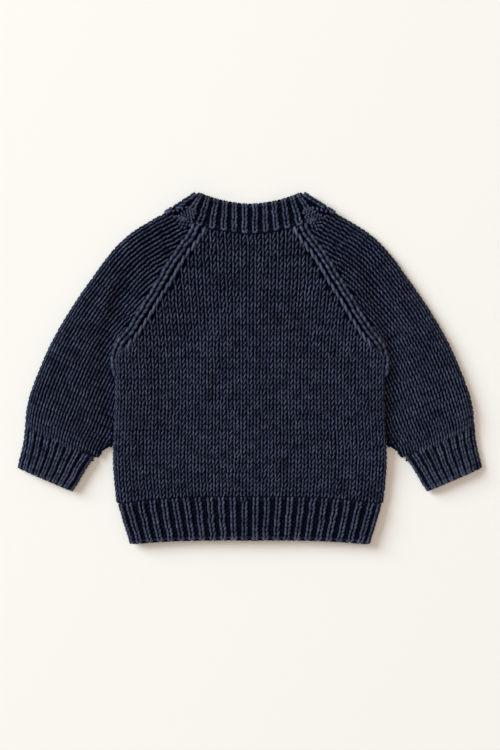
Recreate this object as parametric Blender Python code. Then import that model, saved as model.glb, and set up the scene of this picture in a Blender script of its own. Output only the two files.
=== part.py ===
"""A small child's chunky knitted raglan cardigan, laid flat on its buttoned front with its back up.

X runs across the garment, Y up it from hem to neck, and Z up from the surface it lies on. The
origin is under the middle of the whole garment. Lengths below are in millimetres. The garment is
made alike on both sides, so tables give the +X half.
"""

import math
from collections import namedtuple

import bmesh
import bpy
import numpy as np

MM = 0.001

# The knit: a wall of thick yarn, its pieces sewn edge to edge
WALL = 4.2
BAND_WALL = 3.5
SEAM_GAP = 0.3
HALF_GAP = 0.2  # each piece stays this far from a seam's own line
NECK_SEAM_GAP = 0.4

# How high the garment lies: the back over two layers, over three at the button bands
BODY_HEIGHT = 11.2
MIDDLE_HEIGHT = 12.1
SLEEVE_HEIGHT = 11.4
SLEEVE_FOLD = SLEEVE_HEIGHT / 2
CUFF_HEIGHT = 9.8
CROWN_REACH = 55.0  # how far from the middle the bands still hold the back up
NECKBAND_PROUD = 0.5
NECK_DROOP = 5.0  # the back of the neckband has no front under it, and sinks by this much
DROOP_FROM_Y, DROOP_TO_Y = 135.0, 173.0
DROOP_REACH = 33.0

# The front opening
BAND_HALF_WIDTH = 14.0
FRONT_EDGE_X = BAND_HALF_WIDTH + SEAM_GAP
FRONT_LIFT = 3.2  # the wearer's right front climbs this much, on to the other front's band
LIFT_FROM_X, LIFT_TO_X = 36.0, 17.0
BUTTON_RADIUS = 7.5
BUTTON_THICKNESS = 2.3
BUTTON_Y = (119.0, 48.0, -23.0, -94.0, -165.0)
BUTTON_RIM = 1.3
BUTTON_DISH = 0.6
BUTTON_EDGE = 0.65  # how far the rim's edges are rounded
THREAD_HOLE_RADIUS = 0.9
THREAD_HOLE_REACH = 1.75
RECESS_CLEARANCE = 0.4

# Ribs: one knit and one purl stitch by turns, a raised column and a furrow
RIB_RISE = 0.9
RIB_CREST = 0.19  # half the flat top and half the furrow's floor, as shares of a rib's pitch
RIB_FURROW = 0.17
HEM_RIBS_PER_HALF = 11  # with one more along each side fold
NECK_RIBS_PER_HALF = 6
CUFF_RIBS = 8

# The raglan line's one thick column of stitches, on the sleeve: its two rows of leaning legs
RIDGE_RISE = 1.4
RIDGE_OFFSETS = (3.6, 5.6, 7.6)  # from the seam: first row, the furrow between, second row
RIDGE_HEIGHTS = (1.0, 0.5, 1.0)
RIDGES_END = 10.6
LAST_FULL_RIDGE_ROW, LAST_RIDGE_ROW = 8, 10  # the column dies out round the underarm

SLEEVE_RISE_RUN = 34.0  # the sleeve climbs from its seam's height to its own over this distance
CUFF_RIB_START = 0.9  # the first rib starts this far round the inner fold, as a share of its radius

# How finely the plain stretches between edges are divided
BACK_COLUMNS = 6
FRONT_COLUMNS = 4
SLEEVE_COLUMNS = 6
CUFF_COLUMNS = 5
BAND_COLUMNS, BAND_ROWS = 4, 12
BUTTON_SIDES = 18
THREAD_HOLE_SIDES = 6

ROLL_ANGLES = [math.radians(a) for a in (0, 30, 60, 90)]
FOLD_ANGLES = [math.radians(a) for a in (60, 30, 0, -30, -60)]

# How a piece ends along a line. dip is how far the back's edge lies below its top, rise how far the
# front's lies above the floor, and turn how far the cloth has turned down there: 0 at a flat seam,
# 1 at a full side fold. The cloth rounds over within roll of the edge.
Edge = namedtuple("Edge", "dip rise turn roll")
RAGLAN = Edge(1.2, 0.5, 0.0, 3.0)
RAGLAN_LOW = Edge(1.5, 0.6, 0.2, 3.2)
NEAR_UNDERARM = Edge(2.3, 1.8, 0.65, 3.8)
AT_UNDERARM = Edge(3.6, 3.5, 0.9, 4.4)
SIDE_FOLD = Edge(5.35, 5.4, 1.0, 5.4)

# The back's outline, neck to hem: its edge, the same row's place at the centre, and how sharply the
# row bends between the two, as a power
PanelRow = namedtuple("PanelRow", "edge_x edge_y middle_y bend edge")
BACK_ROWS = [
    PanelRow(49.5, 149.0, 141.6, 1.5, RAGLAN),
    PanelRow(60.4, 132.6, 128.5, 1.7, RAGLAN),
    PanelRow(71.2, 119.0, 116.0, 2.0, RAGLAN),
    PanelRow(79.0, 106.8, 104.0, 2.0, RAGLAN),
    PanelRow(87.7, 91.1, 89.0, 2.0, RAGLAN),
    PanelRow(99.5, 72.7, 71.0, 2.0, RAGLAN),
    PanelRow(112.6, 50.5, 49.5, 2.0, RAGLAN_LOW),
    PanelRow(126.6, 29.8, 29.0, 2.0, NEAR_UNDERARM),
    PanelRow(136.9, 20.3, 19.8, 2.0, AT_UNDERARM),
    PanelRow(143.6, 11.3, 10.5, 2.0, SIDE_FOLD),
    PanelRow(142.6, -5.5, -5.5, 2.0, SIDE_FOLD),
    PanelRow(142.6, -34.0, -33.0, 2.0, SIDE_FOLD),
    PanelRow(143.5, -58.0, -56.0, 2.0, SIDE_FOLD),
    PanelRow(144.9, -81.5, -79.0, 2.0, SIDE_FOLD),
    PanelRow(145.1, -97.3, -93.5, 2.5, SIDE_FOLD),
    PanelRow(144.2, -113.1, -108.0, 3.0, SIDE_FOLD),
    PanelRow(142.6, -129.0, -122.0, 3.0, SIDE_FOLD),
    PanelRow(140.3, -144.2, -135.8, 3.0, SIDE_FOLD),
]

# The fronts share the back's raglan line and side fold from this row down, and have a lower neck,
# so their first rows close up in the middle.
FRONT_FIRST_ROW = 2
CROWDED_ROWS = 5
FRONT_NECK = PanelRow(63.1, 130.4, 105.2, 1.6, RAGLAN)

# The ribbed hem, top to bottom. Its upper face sinks where the body is knitted on and at its edge.
HEM_ROWS = [
    PanelRow(140.2, -144.7, -136.3, 3.0, SIDE_FOLD),
    PanelRow(139.0, -149.0, -140.5, 3.0, SIDE_FOLD),
    PanelRow(133.0, -167.5, -160.5, 3.0, SIDE_FOLD),
    PanelRow(126.8, -184.0, -179.6, 3.0, SIDE_FOLD),
    PanelRow(125.3, -186.9, -182.4, 3.0, SIDE_FOLD),
]
HEM_SINKS = (0.6, 0.0, 0.0, 0.0, 1.0)

# The sleeve, neck to cuff: its outer fold, then where its back half ends at the raglan line or the
# underarm seam, then where its front half does, the sleeve's height there, and how it ends
UNDERARM_SEAM = Edge(4.65, 4.65, 1.0, 4.8)
SleeveRow = namedtuple("SleeveRow", "fold_x fold_y back_x back_y front_x front_y inner_height edge")
SLEEVE_ROWS = [
    SleeveRow(85.8, 164.2, 49.5, 149.0, 63.1, 130.4, 11.2, RAGLAN),
    SleeveRow(104.2, 154.3, 60.4, 132.6, 67.4, 124.0, 11.2, RAGLAN),
    SleeveRow(123.2, 143.1, 71.2, 119.0, 71.2, 119.0, 11.2, RAGLAN),
    SleeveRow(141.1, 127.9, 79.0, 106.8, 79.0, 106.8, 11.2, RAGLAN),
    SleeveRow(156.4, 109.9, 87.7, 91.1, 87.7, 91.1, 11.2, RAGLAN),
    SleeveRow(170.1, 91.0, 99.5, 72.7, 99.5, 72.7, 11.1, RAGLAN),
    SleeveRow(184.3, 70.6, 112.6, 50.5, 112.6, 50.5, 11.0, RAGLAN_LOW),
    SleeveRow(197.6, 49.5, 126.6, 29.8, 126.6, 29.8, 10.8, NEAR_UNDERARM),
    SleeveRow(206.4, 34.6, 136.9, 20.3, 136.9, 20.3, 10.2, AT_UNDERARM),
    SleeveRow(213.3, 20.6, 143.6, 11.3, 143.6, 11.3, 9.6, UNDERARM_SEAM),
    SleeveRow(219.9, 6.0, 142.7, -5.5, 142.7, -5.5, 9.6, UNDERARM_SEAM),
    SleeveRow(227.0, -11.9, 142.7, -27.7, 142.7, -27.7, 9.6, UNDERARM_SEAM),
    SleeveRow(233.0, -28.2, 143.4, -49.8, 143.4, -49.8, 9.6, UNDERARM_SEAM),
    SleeveRow(236.6, -44.0, 145.0, -69.9, 145.0, -69.9, 9.6, UNDERARM_SEAM),
    SleeveRow(237.6, -53.5, 148.6, -84.2, 148.6, -84.2, 9.6, UNDERARM_SEAM),
    SleeveRow(237.5, -58.8, 154.4, -92.0, 154.4, -92.0, 9.6, UNDERARM_SEAM),
    SleeveRow(237.3, -63.3, 165.1, -99.5, 165.1, -99.5, 9.6, UNDERARM_SEAM),
]

# The cuff, top to bottom: its outer fold and its inner one
CuffRow = namedtuple("CuffRow", "fold_x fold_y inner_x inner_y sink")
CUFF_ROWS = [
    CuffRow(237.6, -63.6, 165.5, -99.8, 0.5),
    CuffRow(238.2, -74.0, 169.6, -104.6, 0.0),
    CuffRow(240.6, -88.5, 176.2, -114.4, 0.0),
    CuffRow(245.0, -100.0, 183.0, -125.4, 0.0),
    CuffRow(244.4, -104.0, 187.0, -129.0, 1.2),
]

# The neckband's back half, centre to shoulder, in furrows between ribs: its upper edge, and where
# its lower edge meets the back and the sleeve
NeckStation = namedtuple("NeckStation", "rib top_x top_y low_x")
NECK_BACK = [
    NeckStation(0, 0.0, 173.2, 0.0),
    NeckStation(1, 10.9, 173.9, 11.3),
    NeckStation(2, 20.6, 175.2, 22.0),
    NeckStation(3, 30.6, 177.1, 33.8),
    NeckStation(4, 40.1, 179.8, 46.2),
    NeckStation(5, 48.0, 182.4, 60.6),
    NeckStation(6, 53.2, 182.6, 78.0),
]
NECK_FOLD_TOP = (57.3, 186.9)
# Its front half, shoulder to centre front, lies lower and under the back
NECK_FRONT = [
    NeckStation(7.5, 49.4, 169.5, 73.6),
    NeckStation(8.5, 42.0, 154.7, 63.2),
    NeckStation(10, 29.8, 142.1, 45.0),
    NeckStation(11.5, FRONT_EDGE_X, 134.7, FRONT_EDGE_X),
]
NECK_ROWS = (0.0, 0.12, 0.5, 0.9, 1.0)  # across the band, upper edge to lower edge
NECK_SINKS = (1.0, 0.0, 0.0, 0.0, 0.8)

# Soft ridges and troughs of the cloth as it lies: a line, how wide it is and how far it rises
Crease = namedtuple("Crease", "start_x start_y end_x end_y width rise")
CREASES = [
    Crease(118.0, 78.0, 152.0, 22.0, 9.0, 1.3),
    Crease(104.0, 100.0, 136.0, 52.0, 7.0, -0.7),
    Crease(160.0, 20.0, 158.0, -60.0, 10.0, -1.3),
    Crease(196.0, 60.0, 218.0, -20.0, 12.0, 0.8),
    Crease(182.0, -40.0, 196.0, -64.0, 10.0, 0.7),
    Crease(20.0, -118.0, 128.0, -124.0, 10.0, 0.6),
    Crease(70.0, 96.0, 112.0, 30.0, 9.0, 0.4),
]

Yarn = namedtuple("Yarn", "name colour roughness")
KNIT = Yarn("navy_wool", (0.022, 0.028, 0.062, 1.0), 0.92)
RIB = Yarn("navy_rib", (0.019, 0.024, 0.054, 1.0), 0.92)
HORN = Yarn("dark_button", (0.012, 0.011, 0.012, 1.0), 0.35)


def smooth_step(t):
    t = min(max(t, 0.0), 1.0)
    return t * t * (3.0 - 2.0 * t)


def crease_rise(x, y):
    """What the soft ridges and troughs add at a place of the +X half."""
    rise = 0.0
    for crease in CREASES:
        start = np.array((crease.start_x, crease.start_y))
        along = np.array((crease.end_x, crease.end_y)) - start
        length = np.linalg.norm(along)
        along /= length
        offset = np.array((abs(x), y)) - start
        reach = float(offset @ along)
        aside = float(offset @ np.array((-along[1], along[0])))
        outside = max(-reach, reach - length, 0.0)
        rise += crease.rise * math.exp(-(aside / crease.width) ** 2 - (outside / (1.6 * crease.width)) ** 2)
    return rise


def body_top(x, y):
    """Height of the back's upper face: highest over the button bands, and drooping at the neck."""
    crown = (MIDDLE_HEIGHT - BODY_HEIGHT) * math.exp(-(x / CROWN_REACH) ** 2)
    sunk = smooth_step((y - DROOP_FROM_Y) / (DROOP_TO_Y - DROOP_FROM_Y))
    droop = NECK_DROOP * sunk * math.exp(-(x / DROOP_REACH) ** 2)
    return BODY_HEIGHT + crown - droop + crease_rise(x, y)


def front_lift(x):
    """How far the wearer's right front is off the floor, where it climbs on to the left one's band."""
    return FRONT_LIFT * smooth_step((LIFT_FROM_X - x) / (LIFT_FROM_X - LIFT_TO_X))


def new_material(finish):
    if finish.name in bpy.data.materials:
        return bpy.data.materials[finish.name]
    material = bpy.data.materials.new(finish.name)
    material.use_nodes = True
    shader = material.node_tree.nodes["Principled BSDF"]
    shader.inputs["Base Color"].default_value = finish.colour
    shader.inputs["Roughness"].default_value = finish.roughness
    shader.inputs["Metallic"].default_value = 0.0
    material.diffuse_color = finish.colour
    return material


def finish_object(name, bm, finish, smooth=True):
    bmesh.ops.recalc_face_normals(bm, faces=bm.faces)
    mesh = bpy.data.meshes.new(name)
    bm.to_mesh(mesh)
    bm.free()
    piece = bpy.data.objects.new(name, mesh)
    bpy.context.scene.collection.objects.link(piece)
    mesh.materials.append(new_material(finish))
    if smooth:
        mesh.shade_smooth()
        mesh.set_sharp_from_angle(angle=math.radians(50))
    return piece


def cloth_wall(name, outer, inner, finish):
    """A wall of cloth between two grids of points, rows by columns, closed along its four edges."""
    rows, columns = len(outer), len(outer[0])
    bm = bmesh.new()
    skins = []
    for grid in (outer, inner):
        skins.append([[bm.verts.new([c * MM for c in point]) for point in row] for row in grid])
    for skin in skins:
        for r in range(rows - 1):
            for c in range(columns - 1):
                bm.faces.new((skin[r][c], skin[r][c + 1], skin[r + 1][c + 1], skin[r + 1][c]))
    rim = [(0, c) for c in range(columns)]
    rim += [(r, columns - 1) for r in range(1, rows)]
    rim += [(rows - 1, c) for c in range(columns - 2, -1, -1)]
    rim += [(r, 0) for r in range(rows - 2, 0, -1)]
    for (r0, c0), (r1, c1) in zip(rim, rim[1:] + rim[:1]):
        bm.faces.new((skins[0][r0][c0], skins[0][r1][c1], skins[1][r1][c1], skins[1][r0][c0]))
    return finish_object(name, bm, finish)


def mirrored(grid):
    return [[(-x, y, z) for x, y, z in row] for row in grid]


def rib_phases():
    """Places across one rib, as shares of its pitch from the rib's middle, and the rise at each."""
    return [
        (-0.5 + RIB_FURROW, -RIB_RISE),
        (-RIB_CREST, RIB_RISE),
        (RIB_CREST, RIB_RISE),
        (0.5 - RIB_FURROW, -RIB_RISE),
    ]


def roll_points(edge, drop):
    """The rounded edge of a lying panel, edge first: distance in, height below the top, and the
    same for the inner face. A full fold is a quarter turn; a sewn edge just dips."""
    points = []
    for angle in ROLL_ANGLES:
        inward = edge.roll * (1.0 - math.cos(angle))
        below = drop * (1.0 - math.sin(angle))
        lean = edge.turn * math.cos(angle)
        upright = 1.0 - edge.turn + edge.turn * math.sin(angle)
        size = math.hypot(lean, upright)
        points.append((inward, below, inward + WALL * lean / size, below + WALL * upright / size))
    return points


def row_y(row, x):
    share = min(abs(x) / row.edge_x, 1.0)
    return row.middle_y + (row.edge_y - row.middle_y) * share**row.bend


def back_half_row(row):
    """Outer and inner points of half a row of the back, from its edge to the middle."""
    outer, inner = [], []
    edge = row.edge_x - HALF_GAP
    for inward, below, inner_inward, inner_below in roll_points(row.edge, row.edge.dip):
        for points, reach, drop in ((outer, inward, below), (inner, inner_inward, inner_below)):
            x = edge - reach
            y = row_y(row, edge - inward)
            points.append((x, y, body_top(edge - inward, y) - drop))
    start = edge - row.edge.roll
    for k in range(1, BACK_COLUMNS + 1):
        x = start * (1.0 - k / BACK_COLUMNS)
        y = row_y(row, x)
        top = body_top(x, y)
        outer.append((x, y, top))
        inner.append((x, y, top - WALL))
    return outer, inner


def whole_row(half):
    return [(-x, y, z) for x, y, z in half[:-1]] + list(reversed(half))


def make_back():
    outer, inner = [], []
    for row in BACK_ROWS:
        half_outer, half_inner = back_half_row(row)
        outer.append(whole_row(half_outer))
        inner.append(whole_row(half_inner))
    cloth_wall("back", outer, inner, KNIT)


def front_half_row(row, y_of, lift):
    """As back_half_row, for a front: its outer face is below, flat on the floor."""
    outer, inner = [], []
    edge = row.edge_x - HALF_GAP
    for inward, above, inner_inward, inner_above in roll_points(row.edge, row.edge.rise):
        y = y_of(edge - inward)
        outer.append((edge - inward, y, above))
        inner.append((edge - inner_inward, y, inner_above))
    start = edge - row.edge.roll
    marks = [start + (LIFT_FROM_X - start) * k / FRONT_COLUMNS for k in range(1, FRONT_COLUMNS + 1)]
    marks += [0.5 * (LIFT_FROM_X + LIFT_TO_X), LIFT_TO_X, FRONT_EDGE_X]
    for x in marks:
        y = y_of(x)
        z = front_lift(x) if lift else 0.0
        outer.append((x, y, z))
        inner.append((x, y, z + WALL))
    return outer, inner


def front_row_y(row, x):
    """A front's row, from its inner edge to its outer one; the neck row sweeps up to the shoulder."""
    share = (x - FRONT_EDGE_X) / (row.edge_x - FRONT_EDGE_X)
    return row.middle_y + (row.edge_y - row.middle_y) * max(share, 0.0) ** row.bend


def make_fronts():
    rows = [FRONT_NECK]
    lowest = FRONT_FIRST_ROW + CROWDED_ROWS
    for k, row in enumerate(BACK_ROWS[FRONT_FIRST_ROW:], FRONT_FIRST_ROW):
        middle = row.middle_y
        if k < lowest:
            share = (k - FRONT_FIRST_ROW + 1) / (CROWDED_ROWS + 1)
            middle = FRONT_NECK.middle_y + (BACK_ROWS[lowest].middle_y - FRONT_NECK.middle_y) * share
        rows.append(row._replace(middle_y=middle))
    for name, lift in (("front_right", True), ("front_left", False)):
        outer, inner = [], []
        for row in rows:
            row_outer, row_inner = front_half_row(row, lambda x, r=row: front_row_y(r, x), lift)
            outer.append(row_outer)
            inner.append(row_inner)
        if not lift:
            outer, inner = mirrored(outer), mirrored(inner)
        cloth_wall(name, outer, inner, KNIT)


def make_hem_back():
    outer, inner = [], []
    pitch_count = HEM_RIBS_PER_HALF + 0.5
    for row, sink in zip(HEM_ROWS, HEM_SINKS):
        pitch = row.edge_x / pitch_count
        half_outer, half_inner = [], []
        edge = row.edge_x - HALF_GAP
        for inward, below, inner_inward, inner_below in roll_points(row.edge, row.edge.dip)[:-1]:
            y = row_y(row, edge - inward)
            squash = sink * (1.0 - below / row.edge.dip)
            half_outer.append((edge - inward, y, body_top(edge, y) - below - squash))
            half_inner.append((edge - inner_inward, y, body_top(edge, y) - inner_below))
        for rib in range(HEM_RIBS_PER_HALF - 1, -1, -1):
            for phase, rise in reversed(rib_phases()):
                x = pitch * (rib + 0.5 + phase)
                y = row_y(row, x)
                top = body_top(x, y)
                half_outer.append((x, y, top + rise - sink))
                half_inner.append((x, y, top - WALL))
        outer.append([(-x, y, z) for x, y, z in half_outer] + list(reversed(half_outer)))
        inner.append([(-x, y, z) for x, y, z in half_inner] + list(reversed(half_inner)))
    cloth_wall("hem_back", outer, inner, RIB)


def make_hem_fronts():
    for name, lift in (("hem_front_right", True), ("hem_front_left", False)):
        outer, inner = [], []
        for row in HEM_ROWS:
            row_outer, row_inner = front_half_row(row, lambda x, r=row: row_y(r, x), lift)
            outer.append(row_outer)
            inner.append(row_inner)
        if not lift:
            outer, inner = mirrored(outer), mirrored(inner)
        cloth_wall(name, outer, inner, RIB)


def unit(x, y):
    size = math.hypot(x, y)
    return np.array((x / size, y / size))


def fold_directions(folds, ends):
    """Which way each row's outer fold faces: between across the row and square to the outline."""
    ways = []
    for k, (fold, end) in enumerate(zip(folds, ends)):
        before, after = folds[max(k - 1, 0)], folds[min(k + 1, len(folds) - 1)]
        along = unit(after[0] - before[0], after[1] - before[1])
        square = np.array((-along[1], along[0]))
        across = unit(fold[0] - end[0], fold[1] - end[1])
        if square @ across < 0.0:
            square = -square
        ways.append(unit(*(across + square)))
    return ways


def sleeve_ways():
    folds = [(row.fold_x, row.fold_y) for row in SLEEVE_ROWS]
    return fold_directions(folds, [(row.back_x, row.back_y) for row in SLEEVE_ROWS])


def fold_centre(row, way):
    return np.array((row.fold_x, row.fold_y)) - SLEEVE_FOLD * way


def sleeve_top(x, y, distance, inner_height):
    """Height of a sleeve's upper face: lower beside the raglan line's lower end and the body."""
    rise = smooth_step(distance / SLEEVE_RISE_RUN)
    return inner_height + (SLEEVE_HEIGHT - inner_height) * rise + crease_rise(x, y)


def sleeve_row(row, way, ridge_share):
    """Points around the sleeve from its back edge over the outer fold to its front edge."""
    centre = fold_centre(row, way)
    back_end = np.array((row.back_x, row.back_y))
    front_end = np.array((row.front_x, row.front_y))
    outward = unit(*(centre - back_end))
    back_end = back_end + HALF_GAP * outward
    length = np.linalg.norm(centre - back_end)
    outer, inner = [], []
    for inward, below, inner_inward, inner_below in roll_points(row.edge, row.edge.dip):
        place = back_end + inward * outward
        top = sleeve_top(*place, inward, row.inner_height)
        outer.append((*place, top - below))
        inner.append((*(back_end + inner_inward * outward), top - inner_below))
    marks = list(zip(RIDGE_OFFSETS, RIDGE_HEIGHTS))
    for k in range(SLEEVE_COLUMNS):
        marks.append((RIDGES_END + (length - RIDGES_END) * k / (SLEEVE_COLUMNS - 1), 0.0))
    for distance, share in marks:
        place = back_end + distance * outward
        top = sleeve_top(*place, distance, row.inner_height)
        outer.append((*place, top + RIDGE_RISE * share * ridge_share))
        inner.append((*place, top - WALL))
    top = outer[-1][2]
    radius = top / 2
    for angle in FOLD_ANGLES:
        lean, upright = math.cos(angle), math.sin(angle)
        place = centre + SLEEVE_FOLD * lean * way
        outer.append((*place, radius + radius * upright))
        place = centre + (SLEEVE_FOLD - WALL) * lean * way
        inner.append((*place, radius + (radius - WALL) * upright))
    inward_way = unit(*(front_end - centre))
    front_end = front_end - HALF_GAP * inward_way
    length = np.linalg.norm(front_end - centre)
    flat = length - row.edge.roll
    for k in range(SLEEVE_COLUMNS):
        place = centre + flat * k / SLEEVE_COLUMNS * inward_way
        outer.append((*place, 0.0))
        inner.append((*place, WALL))
    for inward, above, inner_inward, inner_above in reversed(roll_points(row.edge, row.edge.rise)):
        outer.append((*(front_end - inward * inward_way), above))
        inner.append((*(front_end - inner_inward * inward_way), inner_above))
    return outer, inner


def make_sleeves():
    outer, inner = [], []
    fading = LAST_RIDGE_ROW - LAST_FULL_RIDGE_ROW
    for k, (row, way) in enumerate(zip(SLEEVE_ROWS, sleeve_ways())):
        ridge_share = 1.0 - smooth_step((k - LAST_FULL_RIDGE_ROW) / fading)
        row_outer, row_inner = sleeve_row(row, way, ridge_share)
        outer.append(row_outer)
        inner.append(row_inner)
    cloth_wall("sleeve_right", outer, inner, KNIT)
    cloth_wall("sleeve_left", mirrored(outer), mirrored(inner), KNIT)


def cuff_row(row, way):
    """Points around the cuff: underarm seam, ribbed upper half, outer fold, plain lower half."""
    radius = CUFF_HEIGHT / 2
    fold = np.array((row.fold_x, row.fold_y))
    centre = fold - radius * way
    seam = np.array((row.inner_x, row.inner_y))
    outward = unit(*(centre - seam))
    length = np.linalg.norm(centre - seam)
    outer, inner = [], []
    seam_edge = Edge(radius - SEAM_GAP / 2, radius - SEAM_GAP / 2, 1.0, radius)
    for inward, below, inner_inward, inner_below in roll_points(seam_edge, seam_edge.dip)[:-1]:
        squash = row.sink * (1.0 - below / seam_edge.dip)
        outer.append((*(seam + inward * outward), CUFF_HEIGHT - below - squash))
        inner.append((*(seam + inner_inward * outward), CUFF_HEIGHT - inner_below))
    first = radius * CUFF_RIB_START
    pitch = (length - first) / CUFF_RIBS
    for rib in range(CUFF_RIBS):
        for phase, rise in rib_phases():
            distance = first + pitch * (rib + 0.5 + phase)
            place = seam + distance * outward
            outer.append((*place, CUFF_HEIGHT + rise - row.sink))
            inner.append((*place, CUFF_HEIGHT - WALL))
    for angle in FOLD_ANGLES:
        lean, upright = math.cos(angle), math.sin(angle)
        place = centre + radius * lean * way
        squash = row.sink * max(upright, 0.0)
        outer.append((*place, radius + radius * upright - squash))
        place = centre + (radius - WALL) * lean * way
        inner.append((*place, radius + (radius - WALL) * upright))
    flat = length - radius
    for k in range(CUFF_COLUMNS):
        place = centre - flat * k / CUFF_COLUMNS * outward
        outer.append((*place, 0.0))
        inner.append((*place, WALL))
    for inward, above, inner_inward, inner_above in reversed(roll_points(seam_edge, seam_edge.rise)):
        outer.append((*(seam + inward * outward), above))
        inner.append((*(seam + inner_inward * outward), inner_above))
    return outer, inner


def make_cuffs():
    folds = [(row.fold_x, row.fold_y) for row in CUFF_ROWS]
    ways = fold_directions(folds, [(row.inner_x, row.inner_y) for row in CUFF_ROWS])
    outer, inner = [], []
    for row, way in zip(CUFF_ROWS, ways):
        row_outer, row_inner = cuff_row(row, way)
        outer.append(row_outer)
        inner.append(row_inner)
    cloth_wall("cuff_right", outer, inner, RIB)
    cloth_wall("cuff_left", mirrored(outer), mirrored(inner), RIB)


def neck_seam(x, behind):
    """The neckband's lower edge, a seam's gap above the back, a sleeve or a front."""
    row = BACK_ROWS[0] if behind else FRONT_NECK
    if x > row.edge_x:
        centre = fold_centre(SLEEVE_ROWS[0], sleeve_ways()[0])
        slope = (centre[1] - row.edge_y) / (centre[0] - row.edge_x)
        y = row.edge_y + slope * (x - row.edge_x)
    else:
        y = row_y(row, x) if behind else front_row_y(row, x)
        slope = 0.0
    return np.array((x, y + NECK_SEAM_GAP * math.hypot(1.0, slope)))


def neck_back_station(rib):
    """The neckband's upper and lower edge where its back half is rib pitches from the middle."""
    ribs = [station.rib for station in NECK_BACK]
    top_x, top_y, low_x = [
        np.interp(rib, ribs, [station[k] for station in NECK_BACK]) for k in range(1, 4)
    ]
    return np.array((top_x, top_y)), neck_seam(low_x, True)


def neck_back_columns():
    """The neckband's ribbed back half, middle to shoulder: rows of outer and of inner points."""
    columns = []
    for rib in range(NECK_RIBS_PER_HALF):
        for phase, rise in rib_phases():
            upper, lower = neck_back_station(rib + 0.5 + phase)
            outer, inner = [], []
            for share, sink in zip(NECK_ROWS, NECK_SINKS):
                place = upper + (lower - upper) * share
                top = body_top(*place) + NECKBAND_PROUD
                outer.append((*place, top + rise - sink))
                inner.append((*place, top - WALL))
            columns.append((outer, inner))
    return columns


def neck_fold_columns():
    """The neckband where it turns under at the shoulder, in line with the sleeve's outer fold."""
    low_way = sleeve_ways()[0]
    fold_top = np.array(NECK_FOLD_TOP)
    fold_low = np.array((SLEEVE_ROWS[0].fold_x, SLEEVE_ROWS[0].fold_y))
    fold_low += NECK_SEAM_GAP * np.array((-low_way[1], low_way[0]))
    fold_line = unit(*(fold_low - fold_top))
    top_way = np.array((-fold_line[1], fold_line[0]))
    radius = (BODY_HEIGHT + NECKBAND_PROUD) / 2
    columns = []
    for angle in [math.radians(90)] + FOLD_ANGLES + [math.radians(-90)]:
        lean, upright = math.cos(angle), math.sin(angle)
        outer, inner = [], []
        for share, sink in zip(NECK_ROWS, NECK_SINKS):
            way = unit(*(top_way * (1.0 - share) + low_way * share))
            centre = fold_top + (fold_low - fold_top) * share - radius * way
            height = radius + radius * upright - sink * max(upright, 0.0)
            outer.append((*(centre + radius * lean * way), height))
            place = centre + (radius - WALL) * lean * way
            inner.append((*place, radius + (radius - WALL) * upright))
        columns.append((outer, inner))
    return columns


def neck_front_columns(lift):
    """The neckband's plain front half beneath, shoulder to the front edge."""
    columns = []
    for station in NECK_FRONT:
        upper = np.array((station.top_x, station.top_y))
        lower = neck_seam(station.low_x, False)
        outer, inner = [], []
        for share in NECK_ROWS:
            place = upper + (lower - upper) * share
            z = front_lift(place[0]) if lift else 0.0
            outer.append((*place, z))
            inner.append((*place, z + WALL))
        columns.append((outer, inner))
    return columns


def make_neckband():
    """A strip from one front edge round the neck to the other, folded at the shoulders."""
    shared = neck_back_columns() + neck_fold_columns()
    right = shared + neck_front_columns(lift=True)
    left = shared + neck_front_columns(lift=False)
    outer = mirrored([column[0] for column in reversed(left)]) + [column[0] for column in right]
    inner = mirrored([column[1] for column in reversed(left)]) + [column[1] for column in right]
    cloth_wall("neckband", outer, inner, RIB)


def band_box(name, low_z):
    """A strip along a front edge, hem to neck."""
    columns = np.linspace(-BAND_HALF_WIDTH, BAND_HALF_WIDTH, BAND_COLUMNS + 1)
    rows = np.linspace(NECK_FRONT[-1].top_y, HEM_ROWS[-1].middle_y, BAND_ROWS + 1)
    outer = [[(x, y, low_z) for x in columns] for y in rows]
    inner = [[(x, y, low_z + BAND_WALL) for x in columns] for y in rows]
    return cloth_wall(name, outer, inner, RIB)


def cylinder_cutter(name, x, y, low, high, radius, sides):
    bm = bmesh.new()
    bmesh.ops.create_cone(
        bm, cap_ends=True, segments=sides, radius1=radius * MM, radius2=radius * MM, depth=(high - low) * MM
    )
    bmesh.ops.translate(bm, verts=bm.verts, vec=(x * MM, y * MM, 0.5 * (low + high) * MM))
    cutter = finish_object(name, bm, HORN, smooth=False)
    cutter.hide_render = True
    cutter.display_type = "WIRE"
    return cutter


def cut_away(piece, cutter):
    cut = piece.modifiers.new(cutter.name, "BOOLEAN")
    cut.operation = "DIFFERENCE"
    cut.object = cutter


def make_bands():
    """The buttonhole band lies on the floor with the buttons pressed into it; the button band, which
    carries them, lies on that."""
    buttonhole_band = band_box("buttonhole_band", 0.0)
    band_box("button_band", BAND_WALL + SEAM_GAP)
    depth = BUTTON_THICKNESS + SEAM_GAP
    for k, y in enumerate(BUTTON_Y, 1):
        radius = BUTTON_RADIUS + RECESS_CLEARANCE
        cutter = cylinder_cutter(f"recess_{k}", 0.0, y, -depth, depth, radius, BUTTON_SIDES)
        cut_away(buttonhole_band, cutter)


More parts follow.
